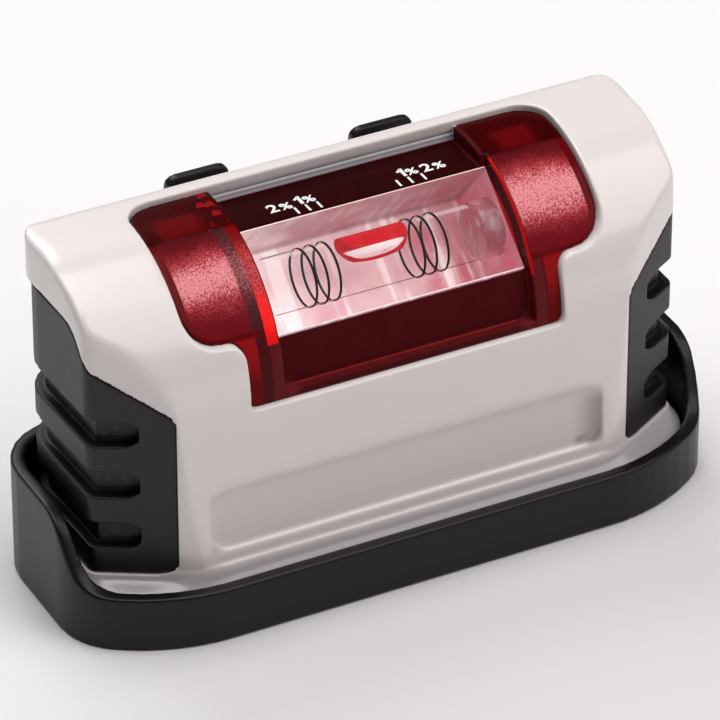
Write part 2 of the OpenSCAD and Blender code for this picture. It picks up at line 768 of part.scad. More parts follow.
module holster_tray() {
    foot = front_y + rise_foot_in;
    head = front_y + rise_head_in;
    color(black) difference() {
        union() {
            intersection() {
                difference() {
                    up(0, rim_high + 1) polygon(tray_plan(0));
                    up(floor_t, rim_high + 2) polygon(tray_plan(-tray_wall));
                }
                along_x(2 * half_tray + over)
                    polygon(rounded([[front_y - over, -1, 0], [front_y - over, rim_low, 0], [foot, rim_low, rise_foot_r],
                                     [head, rim_high, rise_head_r], [tray_back + over, rim_high, 0],
                                     [tray_back + over, -1, 0]]));
            }
            along_y(tray_back - tray_wall, tray_back)
                polygon(rounded(mirrored([[tongue_w / 2 + 6, rim_high - 1, 0], [tongue_w / 2, rim_high + 8, 6],
                                          [tongue_w / 2 - 3, tongue_h, 5]])));
            both_ends() lug(lug_x, lug_t);
        }
        translate([0, pin_y, pin_z]) rod_x(pin_len, pin_d / 2 + pin_gap);
        translate([-keeper_len / 2 - seat_gap, mid_y - keeper_w / 2 - seat_gap, floor_t - keeper_t])
            cube([keeper_len + 2 * seat_gap, keeper_w + 2 * seat_gap, keeper_t + 1]);
        at_rivets() {
            translate([0, 0, -1]) cylinder(r = rivet_d / 2 + seat_gap / 2, h = floor_t + 2);
            translate([0, 0, -1]) cylinder(r = rivet_head_d / 2 + seat_gap, h = 1 + rivet_head_h + seat_gap);
        }
    }
}

module at_rivets() { for (sx = [-1, 1]) translate([sx * rivet_span / 2, mid_y, 0]) children(); }

module keeper_plate() {
    color(steel) difference() {
        translate([-keeper_len / 2, mid_y - keeper_w / 2, floor_t - keeper_t]) cube([keeper_len, keeper_w, keeper_t]);
        at_rivets() cylinder(r = rivet_d / 2 + seat_gap / 2, h = floor_t + 1);
    }
}

module keeper_rivets() {
    color(steel) at_rivets() {
        translate([0, 0, seat_gap]) cylinder(r = rivet_head_d / 2, h = rivet_head_h);
        translate([0, 0, seat_gap]) cylinder(r = rivet_d / 2, h = floor_t);
        translate([0, 0, floor_t]) cylinder(r = rivet_head_d / 2, h = rivet_head_h);
    }
}

// Belt clip
module belt_clip() {
    shoulder = slot_low - 3;
    lip = clip_in - tray_back - side_gap;
    leg_x = (spring_turns * spring_pitch) / 2;
    color(black) difference() {
        union() {
            intersection() {
                along_y(clip_in, clip_back) {
                    polygon(rounded(mirrored([[clip_low_w / 2, clip_low, 4], [arm_x + tab_w, shoulder, 8],
                                              [arm_x + tab_w, slot_low, 0]])));
                    both_ends()
                        polygon(rounded([[arm_x, shoulder, 0], [arm_x + tab_w, shoulder, 0],
                                         [arm_x + tab_w, tab_top, tab_r], [arm_x, tab_top, tab_r]]));
                }
                along_x(2 * (arm_x + tab_w) + 1)
                    polygon([[clip_in, clip_low], [clip_back, clip_low], [clip_back, tab_top - 5],
                             [clip_in + tab_tip_t, tab_top], [clip_in, tab_top]]);
            }
            both_ends() {
                translate([arm_x + ear_t / 2, pin_y, pin_z]) rod_x(ear_t, knuckle_r);
                translate([arm_x, pin_y, pin_z - knuckle_r]) cube([ear_t, clip_in - pin_y + eps, 2 * knuckle_r]);
            }
            translate([-clip_low_w / 2 + 4, clip_in - lip, clip_low]) cube([clip_low_w - 8, lip + eps, clip_t]);
        }
        translate([0, pin_y, pin_z]) rod_x(pin_len, pin_d / 2 + pin_gap);
        translate([leg_x - wire_d, clip_back - wire_d * 1.5, pin_z - coil_r - spring_leg - wire_d]) cube([2 * wire_d, wire_d * 2, spring_leg]);
        both_ends() for (i = [0 : 2])
            translate([arm_x + tab_w / 2, clip_back, tab_top - 6.2 - 2.2 * i]) rod_x(tab_w - 2.4, 0.5);
    }
}

module clip_pin() { color(steel) translate([0, pin_y, pin_z]) rod_x(pin_len, pin_d / 2); }

// Torsion spring: one leg up the wall, the coil, and one leg out through the slot and down the clip's back
spring_sides = 6;
rings_per_turn = 8;
coil_len = spring_turns * spring_pitch;
function coil_point(t) =
    [coil_len * (t / spring_turns - 0.5), pin_y - coil_r * cos(360 * t), pin_z - coil_r * sin(360 * t)];
leg_up_y = tray_back + wire_d / 2 + seat_gap;
leg_down_y = clip_back - wire_d * 0.7;
spring_path = concat(
    [[-coil_len / 2, leg_up_y, pin_z + spring_leg], [-coil_len / 2, leg_up_y, pin_z + spring_leg / 2]],
    [for (i = [0 : spring_turns * rings_per_turn + 2]) coil_point(i / rings_per_turn)],
    [[coil_len / 2 + spring_pitch / 4, clip_in, pin_z - coil_r], [coil_len / 2, leg_down_y - wire_d * 0.7, pin_z - coil_r - wire_d / 2],
     [coil_len / 2, leg_down_y, pin_z - coil_r - wire_d * 1.5], [coil_len / 2, leg_down_y, pin_z - coil_r - spring_leg]]);
function ring_at(path, i) =
    let (n = len(path),
         t = unit(path[min(i + 1, n - 1)] - path[max(i - 1, 0)]),
         side = unit(cross(t, abs(t[0]) > 0.9 ? [0, 0, 1] : [1, 0, 0])),
         rise = cross(side, t))
    [for (k = [0 : spring_sides - 1])
        path[i] + wire_d / 2 * (side * cos(360 * k / spring_sides) + rise * sin(360 * k / spring_sides))];
path_len = len(spring_path);
least_turn_gap = min([for (i = [0 : path_len - 1], j = [i + rings_per_turn / 2 : 1 : path_len - 1])
    norm(spring_path[j] - spring_path[i])]) - wire_d;
echo(least_gap_of_spring_turns = least_turn_gap);

module clip_spring() {
    n = len(spring_path);
    s = spring_sides;
    points = [for (i = [0 : n - 1]) each ring_at(spring_path, i)];
    sides = [for (i = [0 : n - 2], k = [0 : s - 1])
        let (a = i * s + k, b = i * s + (k + 1) % s)
        each [[a, b, b + s], [a, b + s, a + s]]];
    caps = [for (k = [1 : s - 2]) each [[0, k + 1, k], [(n - 1) * s, (n - 1) * s + k, (n - 1) * s + k + 1]]];
    color(steel) polyhedron(points = points, faces = concat(sides, caps), convexity = 8);
}

housing();
grip_left();
grip_right();
window();
scale_plate();
vial_block();
level_rings();
vial_fluid();
bubble();
vial_plug();
vial_reflector();
vial_cradle();
cradle_screws();
base_plate();
magnet_front_left();
magnet_front_right();
magnet_rear_left();
magnet_rear_right();
base_screws();
holster_tray();
keeper_plate();
keeper_rivets();
belt_clip();
clip_pin();
clip_spring();
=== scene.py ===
import json
import math

import bpy
from mathutils import Matrix, Vector
from mathutils.bvhtree import BVHTree

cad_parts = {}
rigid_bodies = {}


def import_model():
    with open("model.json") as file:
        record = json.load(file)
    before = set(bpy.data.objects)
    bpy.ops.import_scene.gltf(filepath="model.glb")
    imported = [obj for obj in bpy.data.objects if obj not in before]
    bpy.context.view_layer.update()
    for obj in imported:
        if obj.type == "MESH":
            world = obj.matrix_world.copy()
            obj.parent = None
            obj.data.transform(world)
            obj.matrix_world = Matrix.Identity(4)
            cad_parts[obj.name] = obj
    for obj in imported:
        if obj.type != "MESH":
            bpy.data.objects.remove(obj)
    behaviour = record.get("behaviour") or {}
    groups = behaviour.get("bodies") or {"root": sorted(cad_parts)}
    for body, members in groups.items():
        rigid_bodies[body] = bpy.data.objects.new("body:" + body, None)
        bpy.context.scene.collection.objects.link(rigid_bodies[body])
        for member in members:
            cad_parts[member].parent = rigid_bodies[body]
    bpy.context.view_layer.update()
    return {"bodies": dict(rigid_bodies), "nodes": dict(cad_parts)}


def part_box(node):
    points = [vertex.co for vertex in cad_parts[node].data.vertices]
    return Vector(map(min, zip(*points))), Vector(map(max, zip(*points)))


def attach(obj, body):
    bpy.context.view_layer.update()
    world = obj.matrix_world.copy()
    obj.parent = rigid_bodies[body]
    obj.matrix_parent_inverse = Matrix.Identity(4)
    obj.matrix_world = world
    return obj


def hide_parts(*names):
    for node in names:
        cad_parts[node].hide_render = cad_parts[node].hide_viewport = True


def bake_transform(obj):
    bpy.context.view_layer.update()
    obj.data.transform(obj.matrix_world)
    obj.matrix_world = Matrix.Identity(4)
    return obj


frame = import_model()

bl_info = {
    "name": "Magnetic level in its belt holster",
    "version": (1, 0, 0),
    "blender": (4, 5, 0),
    "location": "View3D > Sidebar > Level",
    "description": "Dresses the packed level and its holster with moulded edges, finishes and print",
    "category": "Object",
}

# Places in the shared frame, in millimetres
MM = 0.001
CROWN_Y = 4.4225
CROWN_Z = 30.1
SADDLE_X = 1.2
VIAL_Y = -1.851
VIAL_Z = 37.577
BORE_Y = -1.854
BORE_Z = 38.358
BORE_RISE = 0.5
BUBBLE_X = 0.7
BUBBLE_LIFT = 2.5
BUBBLE_BACK = 1.0
WINDOW_X = 0.5
WINDOW_HALF = 29.6
WINDOW_LOW = 38.7
WINDOW_ROUND = 4.5
NECK_HALF = 22.2
SADDLE_HALF = 17.9
SILL_Z = 30.6
PIN_Y = 15.7
PIN_Z = 31.0
BASE_Z = 2.5
SHELF_TOP = 46.6
FRONT_Y = -13.5
RECESS_HALF = 28.2
RECESS_LOW = 10.8
RECESS_HIGH = 19.1
GROOVE_LOW = 9.3
GROOVE_PITCH = 7.65
WALL_BACK = 13.5
SPRING_LEG = 6.0
TICKS_X = (-7.6, -6.0, -4.4, 6.9, 8.6, 10.5)
TICKS_Y = 0.29
FIGURES = ((2, -10.9, 1.95), (1, -6.9, 2.2), (1, 7.8, 2.2), (2, 11.0, 1.95))

# The photograph's camera, in degrees, millimetres and metres
CAMERA_AZIMUTH = -27.237
CAMERA_ELEVATION = 33.12
CAMERA_LENS = 302.85
CAMERA_PLACE = (-0.29846, -0.58142, 0.44879)

# Soft lights: place in metres, width, power in watts and tint
AIM = (0, 0, 0.025)
DAYLIGHT = (1, 0.99, 0.985)
LIGHTS = (
    ("top_softbox", (0, 0, 0.775), 0.5, 3.0, DAYLIGHT),
    ("front_softbox", (0.375, -0.375, 0.555), 0.6, 2.7, (1, 0.935, 0.925)),
    ("back_softbox", (0, 0.53, 0.555), 0.42, 1.9, DAYLIGHT),
    ("rear_left_softbox", (-0.375, 0.375, 0.555), 0.42, 0.6, DAYLIGHT),
)

WHITE = (1, 1, 1, 1)
BLACK = (0, 0, 0, 1)


def length(name, text, value, digits):
    """A length, in metres, that a user can change."""
    return bpy.props.FloatProperty(
        name=name, description=text, default=value, unit="LENGTH", precision=digits)


class LevelSizes(bpy.types.PropertyGroup):
    """Sizes of the dressed pieces."""

    shell_grain: length("Shell rounding", "Grain that rounds the white shell's edges", 0.00019, 5)
    rubber_grain: length("Rubber rounding", "Grain that rounds the grips' edges", 0.00016, 5)
    window_grain: length("Window rounding", "Grain that rounds the window's edges", 0.00015, 5)
    holster_grain: length("Holster rounding", "Grain that rounds the holster's edges", 0.00022, 5)
    metal_grain: length("Metal rounding", "Grain that breaks the metal pieces' edges", 0.00012, 5)
    vial_tilt: bpy.props.FloatProperty(
        name="Vial slant", description="Slant of the vial's face below the level", default=math.radians(40),
        subtype="ANGLE")
    vial_length: length("Vial length", "Length of the clear block", 0.0354, 4)
    vial_width: length("Vial width", "Width of the clear block's face", 0.0144, 4)
    vial_depth: length("Vial depth", "Depth of the clear block", 0.011, 4)
    spirit_radius: length("Spirit radius", "Radius of the spirit in the bore", 0.00378, 5)
    spirit_length: length("Spirit length", "Length of the spirit in the bore", 0.0298, 4)
    bubble_length: length("Bubble length", "Length of the bubble", 0.0100, 4)
    bubble_width: length("Bubble width", "Width of the bubble", 0.0058, 4)
    bubble_depth: length("Bubble depth", "Depth of the bubble before the bore cuts it", 0.0047, 4)
    ring_radius: length("Ring radius", "Radius of the black rings", 0.00391, 5)
    ring_width: length("Ring width", "Width of one black ring", 0.00034, 5)
    ring_start: length("Ring start", "From the middle to the inner ring", 0.006, 4)
    ring_pitch: length("Ring pitch", "Distance between rings", 0.0017, 4)
    figure_height: length("Figure height", "Height of the slope figures", 0.0019, 4)
    tick_length: length("Tick length", "Length of the scale's ticks", 0.00155, 5)
    tick_width: length("Tick width", "Width of the scale's ticks", 0.0003, 5)
    wire: length("Spring wire", "Diameter of the spring's wire", 0.0006, 5)
    coil_radius: length("Coil radius", "Radius of the spring's turns", 0.0017, 5)
    coil_pitch: length("Coil pitch", "Distance between the spring's turns", 0.0013, 5)
    coil_turns: bpy.props.IntProperty(
        name="Coil turns", description="Number of turns in the spring", default=6)


def colour(name, text, value):
    """A colour that a user can change."""
    return bpy.props.FloatVectorProperty(
        name=name, description=text, default=value, subtype="COLOR", size=4)


class LevelColours(bpy.types.PropertyGroup):
    """Colours of the finishes."""

    shell: colour("Shell", "Warm white of the housing", (0.86, 0.80, 0.785, 1))
    rubber: colour("Rubber", "Black of the end grips", (0.0095, 0.0074, 0.0080, 1))
    holster: colour("Holster", "Black of the tray and clip", (0.0072, 0.0056, 0.0060, 1))
    red_deep: colour("Deep red", "Red of the window's dark panels", (0.040, 0.0026, 0.0036, 1))
    red_clear: colour("Clear red", "Red of the window's smooth parts", (0.10, 0.0015, 0.0025, 1))
    # Painted light: the lit edges of the window, which also glow from emission
    red_lit: colour("Lit red", "Red of the window's lit edges", (0.90, 0.012, 0.014, 1))
    red_glow: colour("Glowing red", "Paler red of the lit edges", (0.95, 0.14, 0.14, 1))
    red_frost: colour("Frosted red", "Red under the frosted shoulders", (0.18, 0.005, 0.011, 1))
    red_shadow: colour("Shaded frost", "Dark stripe beside the lit edge", (0.09, 0.024, 0.027, 1))
    red_pillar: colour("Pillar red", "Red of the pillars", (0.13, 0.013, 0.017, 1))
    # Painted light on the pillars' outer edges
    red_edge: colour("Edge red", "Red of the pillars' outer edges", (0.32, 0.009, 0.011, 1))
    red_ridge: colour("Ridge", "Glint along the sill", (0.30, 0.018, 0.016, 1))
    # Painted sheen: the palest place on the frosted shoulders
    frost: colour("Frost", "Palest place on the shoulders", (0.92, 0.34, 0.37, 1))
    # Painted light inside the vial: the window's pink and red, with pale and grey reflections
    vial_pale: colour("Vial pale", "Palest tint inside the vial", (1.0, 0.95, 0.95, 1))
    vial_pink: colour("Vial pink", "Pink inside the vial", (0.57, 0.22, 0.265, 1))
    # Painted light: the window's red seen through the bubble, and a pale lens highlight with pink streaks
    bubble: colour("Bubble", "Red seen through the bubble", (0.50, 0.0015, 0.009, 1))
    lens: colour("Lens", "Pale lens at the bubble's foot", (0.94, 0.83, 0.85, 1))
    lens_pink: colour("Lens pink", "Pink streaks in the lens", (0.74, 0.20, 0.24, 1))
    # Painted shade: the white shell in shade behind the rear lip, lighter towards the top
    lip: colour("Rear lip", "Shell seen through the rear lip", (0.52, 0.50, 0.53, 1))
    lip_lit: colour("Lit lip", "Palest place on the rear lip", (0.74, 0.73, 0.77, 1))
    vial_face: colour("Vial face", "Tint of the vial's polished face", (1, 0.97, 0.97, 1))
    # Painted light: grey streaks of reflection and the window's red in the vial
    vial_grey: colour("Vial grey", "Grey streaks in the vial", (0.55, 0.47, 0.48, 1))
    vial_red: colour("Vial red", "Red in the vial's right end", (0.66, 0.09, 0.17, 1))
    spark: colour("Spark", "Orange glint on the vial's upper edge", (0.95, 0.42, 0.16, 1))
    # Painted highlight and painted dark line on the spirit's edges
    spirit: colour("Spirit", "Bright upper edge of the spirit", (0.97, 0.93, 0.935, 1))
    spirit_dark: colour("Dark spirit", "Dark lower edge of the spirit", (0.16, 0.05, 0.065, 1))
    plug_pink: colour("Plug pink", "Pink of the milky plug", (0.66, 0.26, 0.31, 1))
    plug_pale: colour("Plug pale", "Palest tint of the plug", (0.96, 0.80, 0.83, 1))
    dust: colour("Dust", "Dust on the scale film", (0.10, 0.02, 0.018, 1))
    ring: colour("Ring", "Black of the ring paint", (0.006, 0.006, 0.007, 1))
    ring_worn: colour("Worn ring", "Worn ring paint", (0.018, 0.017, 0.02, 1))
    sheet: colour("Sheet", "White of the sheet", (0.80, 0.76, 0.75, 1))
    sheet_pale: colour("Pale sheet", "Palest fibres of the sheet", (0.88, 0.85, 0.84, 1))
    bracket: colour("Bracket", "Dark grey of the bracket", (0.035, 0.034, 0.036, 1))
    bracket_pale: colour("Pale bracket", "Paler grain of the bracket", (0.06, 0.058, 0.062, 1))
    floor: colour("Floor", "Pale floor", (0.93, 0.93, 0.93, 1))
    floor_pale: colour("Pale floor", "Palest clouds on the floor", (0.95, 0.95, 0.95, 1))
    # Painted shadow on the floor in front of the part
    floor_near: colour("Near floor", "Floor in front of the part", (0.795, 0.795, 0.795, 1))
    # Painted shade at the front recess's right end
    smudge: colour("Smudge", "Grey smudge in the front recess", (0.30, 0.27, 0.265, 1))
    # Painted reflection and shade of the black tray on the shell's flare
    flare: colour("Flare", "Dark reflection in the shell's flare", (0.17, 0.17, 0.20, 1))
    ink: colour("Ink", "White of the printed scale", (0.9, 0.88, 0.87, 1))
    steel: colour("Steel", "Grey of the steel pieces", (0.55, 0.55, 0.56, 1))
    alloy: colour("Alloy", "Grey of the milled base", (0.62, 0.63, 0.65, 1))


def sizes():
    return bpy.context.scene.level_sizes


def colours():
    return bpy.context.scene.level_colours


def shade(rgba, factor):
    """A colour made lighter or darker."""
    return (rgba[0] * factor, rgba[1] * factor, rgba[2] * factor, 1)


class Wire:
    """One socket of a finish. Sums on it become Math nodes."""

    def __init__(self, finish, socket):
        self.finish = finish
        self.socket = socket

    def math(self, operation, *values):
        return self.finish.node("ShaderNodeMath", {"operation": operation}, dict(enumerate(values)))

    def __add__(self, other):
        return self.math("ADD", self, other)

    __radd__ = __add__

    def __sub__(self, other):
        return self.math("SUBTRACT", self, other)

    def __rsub__(self, other):
        return self.math("SUBTRACT", other, self)

    def __mul__(self, other):
        return self.math("MULTIPLY", self, other)

    __rmul__ = __mul__

    def __truediv__(self, other):
        return self.math("DIVIDE", self, other)

    def __pow__(self, other):
        return self.math("POWER", self, other)

    def __abs__(self):
        return self.math("ABSOLUTE", self)

    def at_least(self, other):
        return self.math("MAXIMUM", self, other)

    def at_most(self, other):
        return self.math("MINIMUM", self, other)

    def step(self, low, high):
        """0 at low, 1 at high, smooth between."""
        return self.finish.node("ShaderNodeMapRange", {"interpolation_type": "SMOOTHSTEP"},
                                {"Value": self, "From Min": low, "From Max": high})

    def band(self, low, high, soft):
        """1 between low and high, 0 outside, with soft edges."""
        return self.step(low - soft, low + soft) * (1 - self.step(high - soft, high + soft))


class Finish:
    """A procedural material. Every node in it comes from one method."""

    def __init__(self, name):
        self.material = bpy.data.materials.new(name)
        self.material.use_nodes = True
        self.tree = self.material.node_tree
        self.tree.nodes.clear()

    def node(self, kind, settings=None, sockets=None, out=0):
        made = self.tree.nodes.new(kind)
        for key, value in (settings or {}).items():
            setattr(made, key, value)
        for key, value in (sockets or {}).items():
            if isinstance(value, Wire):
                self.tree.links.new(value.socket, made.inputs[key])
            else:
                made.inputs[key].default_value = value
        return Wire(self, made.outputs[out]) if made.outputs else made

    def place(self):
        """Object coordinates."""
        return self.node("ShaderNodeTexCoord", out="Object")

    def axes(self, place):
        """x, y and z in millimetres."""
        parts = self.node("ShaderNodeSeparateXYZ", None, {0: place}).socket.node
        return [Wire(self, socket) * 1000 for socket in parts.outputs]

    def noise(self, place, scale, detail=2.0, rough=0.5):
        return self.node("ShaderNodeTexNoise", None,
                         {"Vector": place, "Scale": scale, "Detail": detail, "Roughness": rough})

    def stretched(self, place, scale, detail=2.0):
        """Noise that is drawn out by a scale for each axis."""
        drawn = self.node("ShaderNodeMapping", None, {"Vector": place, "Scale": scale})
        return self.noise(drawn, 1.0, detail)

    def mix(self, a, b, factor):
        return self.node("ShaderNodeMix", {"data_type": "RGBA"}, {0: factor, 6: a, 7: b}, 2)

    def bump(self, height, strength, distance):
        return self.node("ShaderNodeBump", None,
                         {"Strength": strength, "Distance": distance, "Height": height})

    def surface(self, **sockets):
        named = {key.replace("_", " "): value for key, value in sockets.items()}
        return self.node("ShaderNodeBsdfPrincipled", None, named)

    def blend(self, share, first, second):
        """A mix of two shaders, with a share of the second."""
        return self.node("ShaderNodeMixShader", None, {0: share, 1: first, 2: second})

    def done(self, shader):
        self.node("ShaderNodeOutputMaterial", None, {"Surface": shader})
        return self.material


# Finishes

def shell_finish():
    """Glossy warm white plastic with a faint cloud and a fine moulded skin."""
    f = Finish("white_shell")
    place = f.place()
    cloud = f.noise(place, 45, 3)
    skin = f.noise(place, 1500, 3)
    base = f.mix(shade(colours().shell, 0.975), shade(colours().shell, 1.015), cloud)
    x, y, z = f.axes(place)
    # The recess has a painted shade on its floor, and a darker painted shade at its right end
    front = 1 - y.step(FRONT_Y - 0.5, FRONT_Y + 0.5)
    smudge = x.step(23.5, 27.6) * (1 - x.step(28.0, 28.6)) * z.band(11.2, 17.6, 1.2)
    smudge = (smudge + x.band(24.5, 27.6, 0.8) * z.band(10.9, 11.9, 0.5)).at_most(1)
    floor = abs(x).step(RECESS_HALF + 0.4, RECESS_HALF - 0.4) * z.band(RECESS_LOW, RECESS_HIGH, 0.5)
    base = f.mix(base, shade(colours().shell, 0.84), floor * front)
    base = f.mix(base, colours().smudge, smudge * front * (0.55 + 0.35 * cloud))
    # Painted reflection and shade: the glossy flare darkens where the black tray stands in front of it
    flare = z.step(4.9, 5.9) * (1 - z.step(7.0, 9.0)) * (1 - y.step(6, 9))
    base = f.mix(base, colours().flare, flare * 0.62)
    return f.done(f.surface(Base_Color=base, Roughness=0.18 + 0.08 * skin, Specular_IOR_Level=0.5,
                            Coat_Weight=0.5, Coat_Roughness=0.12, Normal=f.bump(skin, 0.04, 0.00002)))


def rubber_finish():
    """Satin black rubber. The floors of the grooves are coarse."""
    f = Finish("black_rubber")
    place = f.place()
    x, y, z = f.axes(place)
    first = BASE_Z + GROOVE_LOW
    groove = f.node("ShaderNodeMath", {"operation": "FRACT"}, {0: (z - first) / GROOVE_PITCH})
    band = groove.band(0.07, 0.43, 0.03) * z.step(first, first + 0.3) * (1 - z.step(31, 31.5))
    band = band * y.step(-12.4, -11.6)
    fine = f.noise(place, 3200, 2)
    coarse = f.noise(place, 1500, 4, 0.7)
    height = fine * (1 - band) * 0.25 + coarse * band
    # The coarse groove floors have pale specks with a painted sparkle
    speck = coarse.step(0.57, 0.70) * band
    base = f.mix(shade(colours().rubber, 0.9), shade(colours().rubber, 9.0), speck)
    return f.done(f.surface(Base_Color=base, Roughness=0.36 + 0.14 * fine, Specular_IOR_Level=0.42,
                            Normal=f.bump(height, 0.6, 0.00014)))


def holster_finish():
    """Satin black plastic with a spark eroded grain."""
    f = Finish("black_holster")
    place = f.place()
    grain = f.noise(place, 2600, 3, 0.6)
    cloud = f.noise(place, 60, 2)
    base = f.mix(shade(colours().holster, 0.85), shade(colours().holster, 1.35), cloud)
    return f.done(f.surface(Base_Color=base, Roughness=0.27 + 0.12 * grain, Specular_IOR_Level=0.28,
                            Normal=f.bump(grain, 0.16, 0.00005)))


def window_finish():
    """Red see-through plastic: frosted shoulders in a smooth border, dark panels and lit edges."""
    c = colours()
    f = Finish("red_window")
    place = f.place()
    x, y, z = f.axes(place)
    ax = abs(x - WINDOW_X)
    beyond = abs(x - SADDLE_X) - SADDLE_HALF
    west = 1 - x.step(-1, 1)
    # Angle round the crown, from the top towards the front, and distance from its axis
    ahead = CROWN_Y - y
    above = z - CROWN_Z
    turn = f.node("ShaderNodeMath", {"operation": "ARCTAN2"}, {0: ahead, 1: above}) * math.degrees(1)
    reach = (ahead ** 2 + above ** 2) ** 0.5
    # Distance inside the shoulders' outline
    dx = ax - (WINDOW_HALF - WINDOW_ROUND)
    dz = (WINDOW_LOW - 0.7 + WINDOW_ROUND) - z
    outside = (dx.at_least(0) ** 2 + dz.at_least(0) ** 2) ** 0.5
    inside = dx.at_least(dz).at_most(0)
    edge = outside + inside - WINDOW_ROUND
    border = edge.step(-1.3, -1.1)
    cloud = f.noise(place, 420, 2)
    front = (turn + cloud * 4).step(14.5, 18.5)
    stripe = beyond.band(0.0, 1.75, 0.08) * west
    frosted = front * (1 - border) * beyond.step(0.25, 0.5) * (1 - stripe)
    # Frost grains under a painted sheen that is brightest half way round the crown; the red is darker
    # towards the top of the crown
    grain = f.noise(place, 4700, 2, 0.6)
    speck = grain.step(0.32, 0.70)
    drift = turn + 14 * (f.noise(place, 150, 2) - 0.5)
    glow = drift.step(17, 38) * (1 - drift.step(35, 56))
    pale = (glow + (speck - 0.5) * (0.2 + 0.55 * glow)).at_least(0).at_most(1)
    sheen_red = f.mix(shade(c.red_frost, 2.6), WHITE, 0.035)
    frost = f.mix(shade(c.red_frost, 0.6), c.red_frost, turn.step(16, 26))
    frost = f.mix(frost, sheen_red, pale.step(0, 0.6))
    frost = f.mix(frost, c.frost, pale.step(0.4, 1))
    # Painted shade: a dark stripe beside the lit edge, its grains lighter under the painted sheen
    shadow = beyond.band(1.75, 3.45, 0.2) * west
    stripe_frost = f.mix(shade(c.red_shadow, 0.5), shade(c.red_shadow, 5.0), speck * (0.1 + 0.9 * glow))
    frost = f.mix(frost, stripe_frost, shadow * 0.85)
    # Smooth top, with painted light: lit patches that show through it and bright blocks beside the left
    # stripe
    patch = (x + cloud * 1.5).band(-25.6, -19.9, 0.8) + (x + cloud * 1.5).band(22.2, 27.4, 0.8)
    patch = patch * (y + cloud).band(0.8, 4.7, 0.8)
    block = f.node("ShaderNodeTexVoronoi", {"feature": "F1", "distance": "CHEBYCHEV"},
                   {"Vector": place, "Scale": 900.0}, "Color")
    block = f.node("ShaderNodeSeparateXYZ", None, {0: block}).step(0.66, 0.74)
    block = block * x.band(-20.4, -17.4, 0.3) * (1 - front)
    smooth = f.mix(shade(c.red_clear, 0.3), shade(c.red_clear, 0.6), cloud)
    smooth = f.mix(smooth, shade(c.red_clear, 1.2), patch * (1 - front))
    smooth = f.mix(smooth, shade(c.red_clear, 3.2), block * 0.8)
    smooth = f.mix(smooth, shade(c.red_clear, 1.3), border * front)
    base = f.mix(smooth, frost, frosted)
    # Pillars beside the lower panel, with a painted shade beside the stripe and painted light on their
    # outer edges, lighter towards the top
    low = 1 - z.step(38.3, 38.9)
    outer = ax.step(NECK_HALF - 1.9, NECK_HALF - 1.6)
    pillar = f.mix(shade(c.red_pillar, 0.8), shade(c.red_pillar, 1.25), cloud)
    pillar = f.mix(pillar, shade(c.red_pillar, 0.62), beyond.band(1.6, 3.2, 0.15))
    pillar = f.mix(pillar, f.mix(shade(c.red_edge, 0.45), c.red_edge, z.step(32, 37)), outer)
    base = f.mix(base, pillar, low * beyond.step(-0.1, 0.1))
    # Dark panel with round lower corners, and the shelf
    corner_x = beyond + 2.2
    corner_z = (SILL_Z + 2.15) - z
    curve = (corner_x.at_least(0) ** 2 + corner_z.at_least(0) ** 2) ** 0.5
    curve = curve + corner_x.at_least(corner_z).at_most(0)
    middle = 1 - beyond.step(-0.35, -0.1)
    rim = (1 - curve.step(1.95, 2.1)) * middle
    film = f.mix(shade(c.red_deep, 1.5), shade(c.red_deep, 2.1), cloud)
    sill = f.mix(film, shade(c.red_pillar, 0.55), 0.6)
    dark = rim.at_least(middle * z.step(38.5, 39))
    bed = f.mix(pillar, sill, 1 - beyond.step(-2.6, -1.6))
    base = f.mix(base, f.mix(bed, film, dark), middle)
    # Painted glint along the sill
    sill_glint = z.band(SILL_Z + 0.02, SILL_Z + 0.16, 0.05) * (1 - beyond.step(-2.4, -2))
    base = f.mix(base, c.red_ridge, sill_glint * (0.4 + 0.6 * cloud))
    # Painted light on the cheeks' edges: a lit stripe, lit lines on the right cheek's wall, and a painted
    # glow from emission
    tip = stripe * z.step(37.1, 37.3)
    glint = f.mix(shade(c.red_lit, 0.22), c.red_lit, turn.step(18, 52))
    grained = f.mix(shade(c.red_lit, 0.3), shade(c.red_glow, 0.8), speck)
    glint = f.mix(glint, grained, turn.step(20, 32) * (1 - turn.step(38, 54)))
    glint = f.mix(glint, shade(c.red_clear, 1.5), beyond.band(-0.1, 0.26, 0.06))
    base = f.mix(base, glint, tip * front)
    wall = beyond.band(-0.3, 0.24, 0.06) * (1 - west) * front * z.step(36.5, 37)
    line = (reach.step(17.55, 17.9) + (1 - reach.step(15.4, 15.75))).at_most(1)
    base = f.mix(base, f.mix(shade(c.red_clear, 0.55), shade(c.red_lit, 0.75), line), wall)
    # The rear lip is painted as the white shell behind it, in painted shade that turns lighter towards the
    # top
    rear = y.step(7.55, 7.8) * z.step(SHELF_TOP - 0.3, SHELF_TOP) * (1 - beyond.step(-0.6, -0.2))
    lip = f.mix(c.lip, c.lip_lit, z.step(SHELF_TOP, SHELF_TOP + 1.2))
    base = f.mix(base, lip, rear)
    bump = f.bump(grain * frosted, 0.12, 0.0001)
    # Painted glow: the lower part of the lit stripe emits light
    lit = f.mix(BLACK, glint, tip * front * turn.step(34, 60))
    gloss = f.surface(Base_Color=base, Roughness=0.2 + 0.32 * frosted, Specular_IOR_Level=0.07, Normal=bump,
                      Emission_Color=lit, Emission_Strength=0.3)
    matt = f.surface(Base_Color=base, Roughness=0.4 + 0.1 * cloud, Specular_IOR_Level=0.03)
    dull = (1 - beyond.step(-0.3, 0)).at_least(low * 0.7).at_least(frosted * 0.7)
    return f.done(f.blend(dull, gloss, matt))


